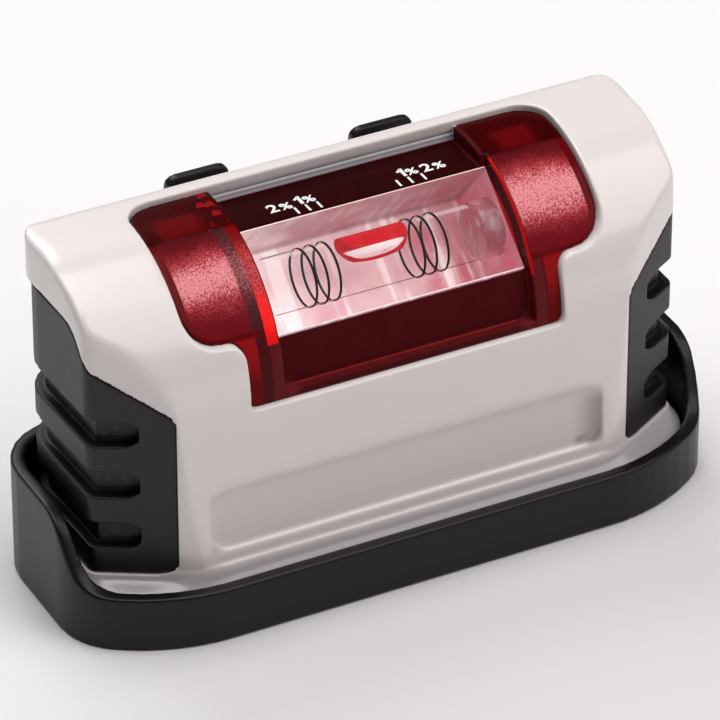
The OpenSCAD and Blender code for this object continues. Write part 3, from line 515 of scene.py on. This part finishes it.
def scale_finish():
    """Dark film with a little dust."""
    f = Finish("scale_film")
    place = f.place()
    dust = f.noise(place, 2600, 2).step(0.66, 0.74)
    cloud = f.noise(place, 150, 2)
    base = f.mix(shade(colours().red_deep, 0.45), shade(colours().red_deep, 0.75), cloud)
    base = f.mix(base, colours().dust, dust * 0.6)
    return f.done(f.surface(Base_Color=base, Roughness=0.28 + 0.2 * dust, Specular_IOR_Level=0.02))


def ink_finish():
    """White screen print with slightly uneven cover."""
    f = Finish("white_print")
    cover = f.noise(f.place(), 2400, 3)
    base = f.mix(shade(colours().ink, 0.9), colours().ink, cover)
    # The print has a faint painted glow from emission
    return f.done(f.surface(Base_Color=base, Roughness=0.5 + 0.2 * cover, Emission_Color=WHITE,
                            Emission_Strength=0.12))


def vial_axes(f, place):
    """Along the vial, and up and out of its slanted face, in millimetres from the bore."""
    x, y, z = f.axes(place)
    c = math.cos(sizes().vial_tilt)
    s = math.sin(sizes().vial_tilt)
    rise = (y - BORE_Y) * c + (z - BORE_Z) * s
    out = (z - BORE_Z) * c - (y - BORE_Y) * s
    return x - SADDLE_X, rise, out


def vial_finish():
    """Clear block with a polished face. Its sides and floor are frosted and painted with light: the
    window's pink and red, pale and grey streaks of reflection, a darker reflection on the roof and a
    painted glow.
    """
    c = colours()
    f = Finish("clear_vial")
    place = f.place()
    x, rise, out = vial_axes(f, place)
    # Painted light on the walls: pink and red from the window, streaks of reflection and a darker painted
    # reflection on the roof
    streak = f.stretched(place, (620, 50, 50), 2).step(0.5, 0.72)
    cloud = f.noise(place, 240, 3)
    side = 1 - out.step(4.45, 4.75)
    roof = rise.step(6.0, 6.5)
    pink = 0.12 + x.step(-15, -5) * 0.38 + x.step(3, 16) * 0.5 + (cloud - 0.5) * 0.7
    pink = (pink + (1 - rise.step(-5.2, -4.4)) * 0.4 - 0.9 * streak).at_least(0).at_most(1)
    walls = f.mix(c.vial_pale, c.vial_pink, pink)
    grey = f.stretched(place, (1100, 60, 60), 1).step(0.52, 0.66) * (1 - x.step(-14, -10))
    walls = f.mix(walls, c.vial_grey, grey * 0.6)
    red = x.step(7, 12) * cloud.step(0.48, 0.62) * (1 - streak)
    walls = f.mix(walls, c.vial_red, red * 0.6)
    roof = roof * (0.75 + 0.6 * (cloud - 0.5)) * (0.75 + 0.25 * x.step(-16, -4))
    walls = f.mix(walls, shade(c.vial_pink, 0.55), roof)
    base = f.mix(c.vial_face, walls, side)
    # Painted glints: white lines along the block's edges and an orange glint on the upper one
    rim = abs(rise + BORE_RISE)
    lip = rim.step(6.95, 7.03) * out.step(4.3, 4.6)
    spark = (rise + BORE_RISE).step(7.08, 7.14) * out.step(3.9, 4.2)
    base = f.mix(base, c.spark, spark)
    gloss = f.node("ShaderNodeLayerWeight", None, {"Blend": 0.5}, "Facing")
    clear = f.node("ShaderNodeBsdfTransparent", None, {"Color": (1, 0.98, 0.985, 1)})
    # The walls also take a painted glow from emission
    solid = f.surface(Base_Color=base, Roughness=0.06 + 0.3 * side, Specular_IOR_Level=0.5,
                      Emission_Color=walls, Emission_Strength=0.36)
    cover = side * 0.97 + (1 - side) * (0.01 + 0.4 * gloss ** 5)
    return f.done(f.blend(cover.at_least(lip * 0.85).at_most(1), clear, solid))


def spirit_finish():
    """Clear spirit, seen by a painted soft highlight along its upper edge and a painted thin dark line
    along its lower one and its upper left.
    """
    f = Finish("clear_spirit")
    place = f.place()
    x, rise, out = vial_axes(f, place)
    across = rise * 0.97 + out * 0.24
    streak = f.stretched(place, (800, 40, 40), 2).step(0.5, 0.72)
    line = across.band(3.05, 3.6, 0.22) * out.step(-1.0, 0.5)
    low = across.band(-3.9, -3.62, 0.04) * (1 - out.step(0.5, 1.2))
    top = across.band(3.6, 3.9, 0.05) * (1 - x.step(-11.5, -8.5))
    low = low.at_least(top)
    base = f.mix(colours().spirit, colours().spirit_dark, low)
    clear = f.node("ShaderNodeBsdfTransparent", None, {"Color": (1, 0.99, 0.99, 1)})
    solid = f.surface(Base_Color=base, Roughness=0.14 + 0.1 * streak, Specular_IOR_Level=0.5)
    line = line * (1 - abs(x - BUBBLE_X).step(6.6, 5.9))
    cover = 0.015 + 0.5 * line + 0.85 * low + 0.025 * streak * out.step(-0.5, 1.5)
    return f.done(f.blend(cover.at_most(1), clear, solid))


def bubble_finish():
    """Bubble painted with the red window's light above and a pale lens highlight below, with a red rim, and
    a painted glow from emission.
    """
    c = colours()
    f = Finish("red_bubble")
    place = f.place()
    x, rise, out = vial_axes(f, place)
    across = rise * 0.97 + out * 0.24
    swirl = f.stretched(place, (260, 700, 700), 2)
    bow = (x - BUBBLE_X + 0.45) ** 2
    drawn = across + 0.12 * (swirl - 0.5)
    foot = bow * 0.02 + bow ** 2 * 0.0034
    lens = (drawn - foot).step(0.2, 0.32) * (1 - drawn.step(1.6, 1.76)) * (1 - bow.step(14, 19))
    pink = (swirl + x * 0.012).step(0.60, 0.68).at_least((1 - drawn.step(0.55, 1.05)) * 0.3)
    tint = f.mix(c.lens, c.lens_pink, pink)
    base = f.mix(shade(c.bubble, 0.95), shade(c.bubble, 1.1), swirl)
    base = f.mix(base, tint, lens)
    return f.done(f.surface(Base_Color=base, Roughness=0.12 + 0.1 * swirl, Specular_IOR_Level=0.06,
                            Emission_Color=base, Emission_Strength=0.36))


def ring_finish():
    """Black ring paint."""
    f = Finish("ring_paint")
    wear = f.noise(f.place(), 1800, 2)
    base = f.mix(colours().ring, colours().ring_worn, wear)
    return f.done(f.surface(Base_Color=base, Roughness=0.5 + 0.2 * wear, Specular_IOR_Level=0.04))


def plug_finish():
    """Milky clear plug."""
    f = Finish("milky_plug")
    place = f.place()
    cloud = f.noise(place, 600, 3)
    base = f.mix(colours().plug_pink, colours().plug_pale, cloud.step(0.4, 0.65))
    clear = f.node("ShaderNodeBsdfTransparent", None, {"Color": (1, 0.97, 0.97, 1)})
    solid = f.surface(Base_Color=base, Roughness=0.2 + 0.15 * cloud)
    return f.done(f.blend(0.12 + 0.5 * cloud, clear, solid))


def paper_finish():
    """White reflector sheet."""
    f = Finish("white_sheet")
    fibre = f.noise(f.place(), 900, 4)
    base = f.mix(colours().sheet, colours().sheet_pale, fibre)
    return f.done(f.surface(Base_Color=base, Roughness=0.7 + 0.15 * fibre))


def milled_finish(name, rgba, rough, along):
    """Metal with fine tool marks drawn out along one axis."""
    f = Finish(name)
    place = f.place()
    marks = f.stretched(place, along, 3)
    cloud = f.noise(place, 130, 2)
    base = f.mix(shade(rgba, 0.86), shade(rgba, 1.06), marks)
    return f.done(f.surface(Base_Color=base, Metallic=1.0, Roughness=rough + 0.16 * marks + 0.06 * cloud,
                            Normal=f.bump(marks, 0.12, 0.00003)))


def bracket_finish():
    """Dark grey plastic of the hidden bracket."""
    f = Finish("grey_bracket")
    grain = f.noise(f.place(), 1800, 3)
    base = f.mix(colours().bracket, colours().bracket_pale, grain)
    return f.done(f.surface(Base_Color=base, Roughness=0.42 + 0.15 * grain,
                            Normal=f.bump(grain, 0.15, 0.00005)))


def floor_finish():
    """Pale sweep, with a painted shadow in front of the part."""
    f = Finish("pale_floor")
    place = f.place()
    cloud = f.noise(place, 3, 2)
    x, y, z = f.axes(place)
    # Painted shadow that fades with distance from a place in front of the part
    away = (((x - 25) / 105) ** 2 + ((y + 48) / 62) ** 2) ** 0.5
    base = f.mix(colours().floor, colours().floor_pale, cloud)
    base = f.mix(colours().floor_near, base, away.step(0.25, 1.45))
    return f.done(f.surface(Base_Color=base, Roughness=0.9 - 0.05 * cloud, Specular_IOR_Level=0.1))


# Modelling

def only(piece):
    """Selects one object and nothing else."""
    bpy.ops.object.select_all(action="DESELECT")
    piece.select_set(True)
    bpy.context.view_layer.objects.active = piece


def start_edit(piece):
    only(piece)
    bpy.ops.object.mode_set(mode="EDIT")
    bpy.ops.mesh.select_all(action="SELECT")


def end_edit():
    bpy.ops.object.mode_set(mode="OBJECT")


def pick_faces(piece, wanted):
    """Goes into edit mode with only the wanted faces selected."""
    start_edit(piece)
    bpy.ops.mesh.select_all(action="DESELECT")
    bpy.ops.mesh.select_mode(type="FACE")
    end_edit()
    for face in piece.data.polygons:
        face.select = wanted(face.normal)
    bpy.ops.object.mode_set(mode="EDIT")


def named(piece, name):
    piece.name = name
    piece.data.name = name
    return piece


def added(name):
    """The primitive that was just added, with its place in its mesh."""
    piece = named(bpy.context.view_layer.objects.active, name)
    only(piece)
    bpy.ops.object.transform_apply(location=True, rotation=True, scale=True)
    return piece


def finish_with(piece, kind, **settings):
    """Adds one modifier and applies it."""
    only(piece)
    bpy.ops.object.modifier_add(type=kind)
    modifier = piece.modifiers[-1]
    for key, value in settings.items():
        setattr(modifier, key, value)
    bpy.ops.object.modifier_apply(modifier=modifier.name)


def bevelled(piece, width):
    """Breaks all edges of a piece."""
    start_edit(piece)
    bpy.ops.mesh.bevel(offset=width, segments=2, affect="EDGES")
    end_edit()


def smooth_below(piece, degrees):
    """Smooth shading, but for edges that are sharper than this."""
    only(piece)
    bpy.ops.object.shade_smooth_by_angle(angle=math.radians(degrees))


def joined(pieces, name):
    """Several objects as one."""
    bpy.ops.object.select_all(action="DESELECT")
    for piece in pieces:
        piece.select_set(True)
    bpy.context.view_layer.objects.active = pieces[0]
    bpy.ops.object.join()
    return named(pieces[0], name)


def copy_of(node, name):
    """A free copy of a CAD node's mesh, with its loose triangles merged."""
    piece = bpy.data.objects.new(name, frame["nodes"][node].data.copy())
    piece.data.name = name
    piece.data.materials.clear()
    bpy.context.scene.collection.objects.link(piece)
    start_edit(piece)
    bpy.ops.mesh.remove_doubles(threshold=0.000001)
    end_edit()
    return piece


def ramp(value, low, high):
    """0 below low, 1 above high, smooth between."""
    share = min(1.0, max(0.0, (value - low) / (high - low)))
    return share * share * (3 - 2 * share)


def loosen(piece, weight, rounds):
    """Rounds some places more. The weight of a place, from 0 to 1, is a function of it in millimetres."""
    group = piece.vertex_groups.new(name="loose")
    levels = {}
    for vertex in piece.data.vertices:
        level = round(8 * weight(*(vertex.co / MM)))
        if level:
            levels.setdefault(level, []).append(vertex.index)
    for level, members in levels.items():
        group.add(members, level / 8, "REPLACE")
    finish_with(piece, "SMOOTH", factor=0.5, iterations=rounds, vertex_group="loose")
    piece.vertex_groups.clear()


def soften(piece, grain, rounds=8, most=150000, weight=None, more=0):
    """Rounds all edges as a mould does: remeshed finely, smoothed and thinned."""
    finish_with(piece, "REMESH", mode="VOXEL", voxel_size=grain)
    finish_with(piece, "SMOOTH", factor=0.5, iterations=rounds)
    if weight:
        loosen(piece, weight, more)
    faces = sum(len(face.vertices) - 2 for face in piece.data.polygons)
    if faces > most:
        finish_with(piece, "DECIMATE", ratio=most / faces)
    only(piece)
    bpy.ops.object.shade_smooth()


def dress(piece, material, body, slot, *nodes):
    """Gives a piece its finish and its body, and hides the CAD nodes that it stands for. The slot is not
    used.
    """
    piece.data.materials.clear()
    piece.data.materials.append(material)
    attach(piece, body)
    if nodes:
        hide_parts(*nodes)


def softened(node, name, grain, material, body, slot, rounds=8, most=150000, weight=None, more=0):
    """A rounded copy that stands for one CAD node."""
    piece = copy_of(node, name)
    soften(piece, grain, rounds, most, weight, more)
    dress(piece, material, body, slot, node)
    return piece


def paint(node, material):
    """Gives a CAD node that stays its finish."""
    mesh = frame["nodes"][node].data
    mesh.materials.clear()
    mesh.materials.append(material)


class LEVEL_OT_stage(bpy.types.Operator):
    """Camera, soft lights and pale floor"""

    bl_idname = "level.stage"
    bl_label = "Stage"

    def light(self, name, place, width, power, tint):
        bpy.ops.object.light_add(type="AREA", location=place)
        lamp = bpy.context.view_layer.objects.active
        lamp.name = name
        lamp.data.shape = "SQUARE"
        lamp.data.size = width
        lamp.data.energy = power
        lamp.data.color = tint
        aim = Vector(AIM) - Vector(place)
        lamp.rotation_euler = aim.to_track_quat("-Z", "Y").to_euler()

    def execute(self, context):
        scene = context.scene
        bpy.ops.object.select_all(action="DESELECT")
        kept = set(frame["nodes"].values()) | set(frame["bodies"].values())
        for spare in [o for o in scene.objects if o.type in {"MESH", "LIGHT", "CAMERA"} and o not in kept]:
            bpy.data.objects.remove(spare)
        azimuth = math.radians(CAMERA_AZIMUTH)
        elevation = math.radians(CAMERA_ELEVATION)
        flat = math.cos(elevation)
        right = Vector((math.cos(azimuth), math.sin(azimuth), 0))
        ahead = Vector((-math.sin(azimuth) * flat, math.cos(azimuth) * flat, -math.sin(elevation)))
        up = right.cross(ahead)
        bpy.ops.object.camera_add()
        camera = context.view_layer.objects.active
        camera.name = "photo_camera"
        camera.data.sensor_width = 36
        camera.data.lens = CAMERA_LENS
        camera.data.clip_start = 0.01
        turned = Matrix((right, up, -ahead)).transposed().to_4x4()
        turned.translation = Vector(CAMERA_PLACE)
        camera.matrix_world = turned
        scene.camera = camera
        bpy.ops.mesh.primitive_plane_add(size=6, location=(0, 0, 0))
        floor = added("floor")
        floor.data.materials.append(floor_finish())
        for entry in LIGHTS:
            self.light(*entry)
        world = bpy.data.worlds.new("studio")
        world.use_nodes = True
        background = world.node_tree.nodes["Background"]
        background.inputs["Color"].default_value = (*DAYLIGHT, 1)
        background.inputs["Strength"].default_value = 0.03
        scene.world = world
        scene.view_settings.view_transform = "Standard"
        return {"FINISHED"}


class LEVEL_OT_housing(bpy.types.Operator):
    """White moulded housing"""

    bl_idname = "level.housing"
    bl_label = "Housing"

    def looseness(self):
        """Weight of the soft creases: the corners, the skirt's edge and most of the front recess."""
        trees = []
        for side in ("left", "right"):
            mesh = frame["nodes"]["grip_" + side].data
            places = [vertex.co.copy() for vertex in mesh.vertices]
            trees.append(BVHTree.FromPolygons(places, [face.vertices[:] for face in mesh.polygons]))

        def weight(x, y, z):
            across = abs(x - WINDOW_X)
            skirt = ramp(z, BASE_Z + 1.6, BASE_Z + 2.6) * (1 - ramp(z, BASE_Z + 5, BASE_Z + 6.2))
            skirt *= 1 - ramp(y, 8, 9)
            front = 1 - ramp(y, FRONT_Y, FRONT_Y + 1)
            recess = front * ramp(z, 15, 17) * (1 - ramp(z, 21, 22)) * (1 - ramp(across, 29, 30))
            recess = max(recess, front * ramp(across, 25.5, 27) * ramp(z, 12, 13.5) * (1 - ramp(z, 21, 22)))
            corner = ramp(across, 30.9, 32.6) * ramp(z, 11, 13) * (1 - ramp(y, 4, 7))
            share = max(skirt, recess, corner)
            if share > 0 and across > 28:
                near = trees[0 if x < 0 else 1].find_nearest(Vector((x, y, z)) * MM, 0.0022)[3]
                if near is not None:
                    share *= ramp(near / MM, 0.5, 2.2)
            return share

        return weight

    def execute(self, context):
        softened("housing", "white_housing", sizes().shell_grain, shell_finish(), "level", "shell",
                 rounds=12, most=195000, weight=self.looseness(), more=110)
        return {"FINISHED"}


class LEVEL_OT_grips(bpy.types.Operator):
    """Black rubber grips at both ends"""

    bl_idname = "level.grips"
    bl_label = "Grips"

    def execute(self, context):
        rubber = rubber_finish()
        for side in ("left", "right"):
            softened("grip_" + side, "rubber_grip_" + side, sizes().rubber_grain, rubber, "level", "grip",
                     rounds=9, most=110000)
        return {"FINISHED"}


class LEVEL_OT_window(bpy.types.Operator):
    """Red window with its label shelf and lower panel"""

    bl_idname = "level.window"
    bl_label = "Window"

    def execute(self, context):
        softened("window", "red_window", sizes().window_grain, window_finish(), "level", "window",
                 rounds=6, most=190000)
        return {"FINISHED"}


class LEVEL_OT_scale(bpy.types.Operator):
    """Scale film with ticks and plain slope figures"""

    bl_idname = "level.scale"
    bl_label = "Scale"

    def figure(self, text, x, y, share=1.0):
        bpy.ops.object.text_add(location=(0, 0, 0))
        piece = bpy.context.view_layer.objects.active
        piece.data.body = text
        piece.data.align_x = "LEFT"
        piece.data.size = sizes().figure_height * 1.35 * share
        piece.data.offset = 0.00005
        piece.data.extrude = 0.00002
        only(piece)
        bpy.ops.object.convert(target="MESH")
        piece = bpy.context.view_layer.objects.active
        piece.scale = (1.15, 1, 1)
        piece.location = (x * MM, y * MM, SHELF_TOP * MM + 0.00003)
        only(piece)
        bpy.ops.object.transform_apply(location=True, rotation=True, scale=True)
        return piece

    def stroke(self, x, y, width, length, turn=0.0):
        """One printed bar that starts at x, y and runs back along the shelf."""
        bpy.ops.mesh.primitive_cube_add(size=1, location=(x * MM, y * MM, SHELF_TOP * MM + 0.00002),
                                        rotation=(0, 0, turn), scale=(width, length, 0.00004))
        return added("stroke")

    def one(self, x, y):
        """The figure one, with a flag."""
        high = sizes().figure_height
        bar = self.stroke(x + 0.75, y + high / MM / 2, 0.00046, high)
        flag = self.stroke(x + 0.45, y + high / MM - 0.42, 0.00036, 0.00095, math.radians(-52))
        return [bar, flag]

    def share_of_slope(self, number, x, y):
        first = self.one(x, y) if number == 1 else [self.figure(str(number), x, y)]
        return first + [self.figure("%", x + (1.12 if number == 1 else 1.72), y, 0.78)]

    def execute(self, context):
        film = copy_of("scale_plate", "scale_film")
        bevelled(film, 0.00006)
        dress(film, scale_finish(), "level", "scale", "scale_plate")
        s = sizes()
        tick_y = TICKS_Y + s.tick_length / MM / 2
        marks = [self.stroke(x, tick_y, s.tick_width, s.tick_length) for x in TICKS_X]
        for number, x, y in FIGURES:
            marks += self.share_of_slope(number, x, y)
        dress(joined(marks, "scale_print"), ink_finish(), "level", "scale")
        return {"FINISHED"}


class LEVEL_OT_vial(bpy.types.Operator):
    """Clear vial block, its plug and the white sheet behind it"""

    bl_idname = "level.vial"
    bl_label = "Vial"

    def execute(self, context):
        s = sizes()
        bpy.ops.mesh.primitive_cube_add(size=1, location=(SADDLE_X * MM, VIAL_Y * MM, VIAL_Z * MM),
                                        rotation=(s.vial_tilt, 0, 0),
                                        scale=(s.vial_length, s.vial_width, s.vial_depth))
        block = added("clear_vial_block")
        bevelled(block, 0.00022)
        smooth_below(block, 35)
        dress(block, vial_finish(), "level", "vial", "vial_block")
        low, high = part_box("vial_plug")
        depth = high[0] - low[0]
        bpy.ops.mesh.primitive_cylinder_add(vertices=96, radius=s.ring_radius - 0.00003, depth=depth,
                                            location=(low[0] + depth / 2, BORE_Y * MM, BORE_Z * MM),
                                            rotation=(0, math.radians(90), 0))
        plug = added("milky_plug")
        pick_faces(plug, lambda normal: normal.x < -0.9)
        for inward, push in ((0.0006, 0.0), (0.0001, 0.0004), (0.0011, 0.0), (0.0001, -0.0003)):
            bpy.ops.mesh.inset(thickness=inward, depth=-push)
        end_edit()
        smooth_below(plug, 35)
        dress(plug, plug_finish(), "level", "plug", "vial_plug")
        paint("vial_reflector", paper_finish())
        return {"FINISHED"}


class LEVEL_OT_spirit(bpy.types.Operator):
    """Spirit, bubble and black rings in the bore"""

    bl_idname = "level.spirit"
    bl_label = "Spirit"

    def execute(self, context):
        s = sizes()
        bore = (SADDLE_X * MM, BORE_Y * MM, BORE_Z * MM)
        along = (0, math.radians(90), 0)
        bpy.ops.mesh.primitive_cylinder_add(vertices=128, radius=s.spirit_radius, depth=s.spirit_length,
                                            location=bore, rotation=along)
        spirit = added("clear_spirit")
        pick_faces(spirit, lambda normal: abs(normal.x) > 0.9)
        bpy.ops.mesh.region_to_loop()
        bpy.ops.mesh.bevel(offset=0.0009, segments=5, affect="EDGES")
        end_edit()
        smooth_below(spirit, 40)
        dress(spirit, spirit_finish(), "level", "fluid", "vial_fluid")
        rings = []
        for side in (-1, 1):
            for i in range(3):
                x = bore[0] + side * (s.ring_start + i * s.ring_pitch)
                bpy.ops.mesh.primitive_cylinder_add(vertices=128, radius=s.ring_radius, depth=s.ring_width,
                                                    end_fill_type="NOTHING", location=(x, bore[1], bore[2]),
                                                    rotation=along)
                ring = added("ring")
                finish_with(ring, "SOLIDIFY", thickness=0.00009)
                finish_with(ring, "BEVEL", width=0.00003, segments=2)
                rings.append(ring)
        dress(joined(rings, "black_rings"), ring_finish(), "level", "rings", "level_rings")
        self.bubble(along)
        return {"FINISHED"}

    def bubble(self, along):
        """A drop that lies against the top of the bore."""
        s = sizes()
        middle = ((SADDLE_X + BUBBLE_X) * MM, BORE_Y * MM, BORE_Z * MM)
        raised = (middle[0], middle[1] + BUBBLE_BACK * MM, middle[2] + BUBBLE_LIFT * MM)
        bpy.ops.mesh.primitive_uv_sphere_add(segments=96, ring_count=48, radius=0.5, location=raised,
                                             scale=(s.bubble_length, s.bubble_width, s.bubble_depth))
        finish_with(bpy.context.view_layer.objects.active, "CAST", cast_type="CUBOID", factor=0.27)
        drop = added("drop")
        bpy.ops.mesh.primitive_cylinder_add(vertices=192, radius=s.spirit_radius - 0.00008,
                                            depth=s.bubble_length * 1.2, location=middle, rotation=along)
        bore = added("bore")
        finish_with(drop, "BOOLEAN", operation="INTERSECT", object=bore, solver="EXACT")
        bpy.data.objects.remove(bore)
        soften(drop, 0.0001, 40, 60000)
        dress(named(drop, "red_bubble"), bubble_finish(), "bubble", "bubble", "bubble")


class LEVEL_OT_base(bpy.types.Operator):
    """Milled base, magnets, screws and the bracket under the vial"""

    bl_idname = "level.base"
    bl_label = "Base"

    def execute(self, context):
        s = sizes()
        alloy = milled_finish("milled_alloy", colours().alloy, 0.24, (60, 2600, 600))
        plate = milled_finish("bright_plate", colours().steel, 0.14, (500, 500, 500))
        softened("base_plate", "milled_base", s.metal_grain * 2, alloy, "level", "base", 3, 120000)
        for corner in ("front_left", "front_right", "rear_left", "rear_right"):
            softened("magnet_" + corner, "round_magnet_" + corner, s.metal_grain, plate, "level", "magnets",
                     rounds=3, most=8000)
        softened("base_screws", "cross_screws_base", s.metal_grain, plate, "level", "screws", 2, 30000)
        softened("cradle_screws", "cross_screws_bracket", s.metal_grain, plate, "level", "screws", 2, 20000)
        softened("vial_cradle", "grey_bracket", s.metal_grain * 2, bracket_finish(), "level", "cradle",
                 rounds=3, most=40000)
        return {"FINISHED"}


class LEVEL_OT_holster(bpy.types.Operator):
    """Black tray with its steel keeper plate and rivets"""

    bl_idname = "level.holster"
    bl_label = "Holster"

    def execute(self, context):
        s = sizes()
        softened("holster_tray", "black_tray", s.holster_grain, holster_finish(), "holster", "holster",
                 rounds=18, most=180000)
        keeper = milled_finish("rolled_keeper", colours().steel, 0.26, (40, 1800, 400))
        softened("keeper_plate", "steel_keeper", s.metal_grain * 2, keeper, "holster", "keeper", 3, 30000)
        rivet = milled_finish("rivet_steel", colours().steel, 0.2, (300, 300, 300))
        softened("keeper_rivets", "round_rivets", s.metal_grain, rivet, "holster", "rivets", 4, 20000)
        return {"FINISHED"}


class LEVEL_OT_clip(bpy.types.Operator):
    """Belt clip with its pin"""

    bl_idname = "level.clip"
    bl_label = "Belt clip"

    def execute(self, context):
        s = sizes()
        softened("belt_clip", "black_belt_clip", s.rubber_grain, holster_finish(), "clip", "clip",
                 rounds=6, most=120000)
        pin = milled_finish("pin_steel", colours().steel, 0.18, (60, 900, 900))
        softened("clip_pin", "steel_pin", s.metal_grain, pin, "holster", "pin", 3, 12000)
        return {"FINISHED"}


class LEVEL_OT_spring(bpy.types.Operator):
    """Wound spring between the tray and the clip"""

    bl_idname = "level.spring"
    bl_label = "Spring"

    def execute(self, context):
        s = sizes()
        half = s.coil_turns * s.coil_pitch / 2
        leg = SPRING_LEG * MM
        pin = Vector((0, PIN_Y * MM, PIN_Z * MM))
        low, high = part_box("clip_spring")
        up_y = max(low[1], WALL_BACK * MM + 0.0001) + s.wire / 2
        down_y = high[1] - s.wire / 2
        points = [Vector((-half, up_y, pin.z + leg - 0.0001)), Vector((-half, up_y, pin.z + leg * 0.7)),
                  Vector((-half, up_y, pin.z + leg * 0.4))]
        steps = 24
        for i in range(s.coil_turns * steps + steps // 4 + 1):
            turn = i / steps
            angle = 2 * math.pi * turn
            points.append(Vector((-half + turn * s.coil_pitch, pin.y - s.coil_radius * math.cos(angle),
                                  pin.z - s.coil_radius * math.sin(angle))))
        foot = pin.z - s.coil_radius
        x = points[-1].x
        points += [Vector((x, (pin.y + down_y) / 2, foot)),
                   Vector((half, down_y - s.wire * 0.7, foot - s.wire / 2)),
                   Vector((half, down_y, foot - s.wire * 1.5)), Vector((half, down_y, foot - leg * 0.6)),
                   Vector((half, down_y, foot - leg + 0.0001))]
        line = bpy.data.curves.new("wound_spring", "CURVE")
        line.dimensions = "3D"
        spline = line.splines.new("NURBS")
        spline.points.add(len(points) - 1)
        for point, place in zip(spline.points, points):
            point.co = (*place, 1)
        spline.use_endpoint_u = True
        spline.order_u = 3
        spline.resolution_u = 3
        line.bevel_depth = s.wire / 2 - 0.00001
        line.bevel_resolution = 4
        line.use_fill_caps = True
        spring = bpy.data.objects.new("wound_spring", line)
        context.scene.collection.objects.link(spring)
        only(spring)
        bpy.ops.object.convert(target="MESH")
        spring = named(context.view_layer.objects.active, "wound_spring")
        start_edit(spring)
        bpy.ops.mesh.remove_doubles(threshold=0.000001)
        bpy.ops.mesh.normals_make_consistent(inside=False)
        end_edit()
        only(spring)
        bpy.ops.object.shade_smooth()
        spring.data.materials.clear()
        spring.data.materials.append(milled_finish("spring_wire", colours().steel, 0.2, (900, 900, 900)))
        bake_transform(spring)
        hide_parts("clip_spring")
        return {"FINISHED"}


STEPS = (LEVEL_OT_stage, LEVEL_OT_housing, LEVEL_OT_grips, LEVEL_OT_window, LEVEL_OT_scale, LEVEL_OT_vial,
         LEVEL_OT_spirit, LEVEL_OT_base, LEVEL_OT_holster, LEVEL_OT_clip, LEVEL_OT_spring)


class LEVEL_PT_pieces(bpy.types.Panel):
    """Lists the pieces in the order they are made"""

    bl_idname = "LEVEL_PT_pieces"
    bl_label = "Level"
    bl_space_type = "VIEW_3D"
    bl_region_type = "UI"
    bl_category = "Level"

    def draw(self, context):
        for step in STEPS:
            self.layout.operator(step.bl_idname)


CLASSES = (LevelSizes, LevelColours, *STEPS, LEVEL_PT_pieces)


def register():
    for entry in CLASSES:
        bpy.utils.register_class(entry)
    bpy.types.Scene.level_sizes = bpy.props.PointerProperty(type=LevelSizes)
    bpy.types.Scene.level_colours = bpy.props.PointerProperty(type=LevelColours)


def unregister():
    del bpy.types.Scene.level_colours
    del bpy.types.Scene.level_sizes
    for entry in reversed(CLASSES):
        bpy.utils.unregister_class(entry)


def main():
    register()
    bpy.ops.level.stage()
    bpy.ops.level.housing()
    bpy.ops.level.grips()
    bpy.ops.level.window()
    bpy.ops.level.scale()
    bpy.ops.level.vial()
    bpy.ops.level.spirit()
    bpy.ops.level.base()
    bpy.ops.level.holster()
    bpy.ops.level.clip()
    bpy.ops.level.spring()


if __name__ == "__main__":
    main()
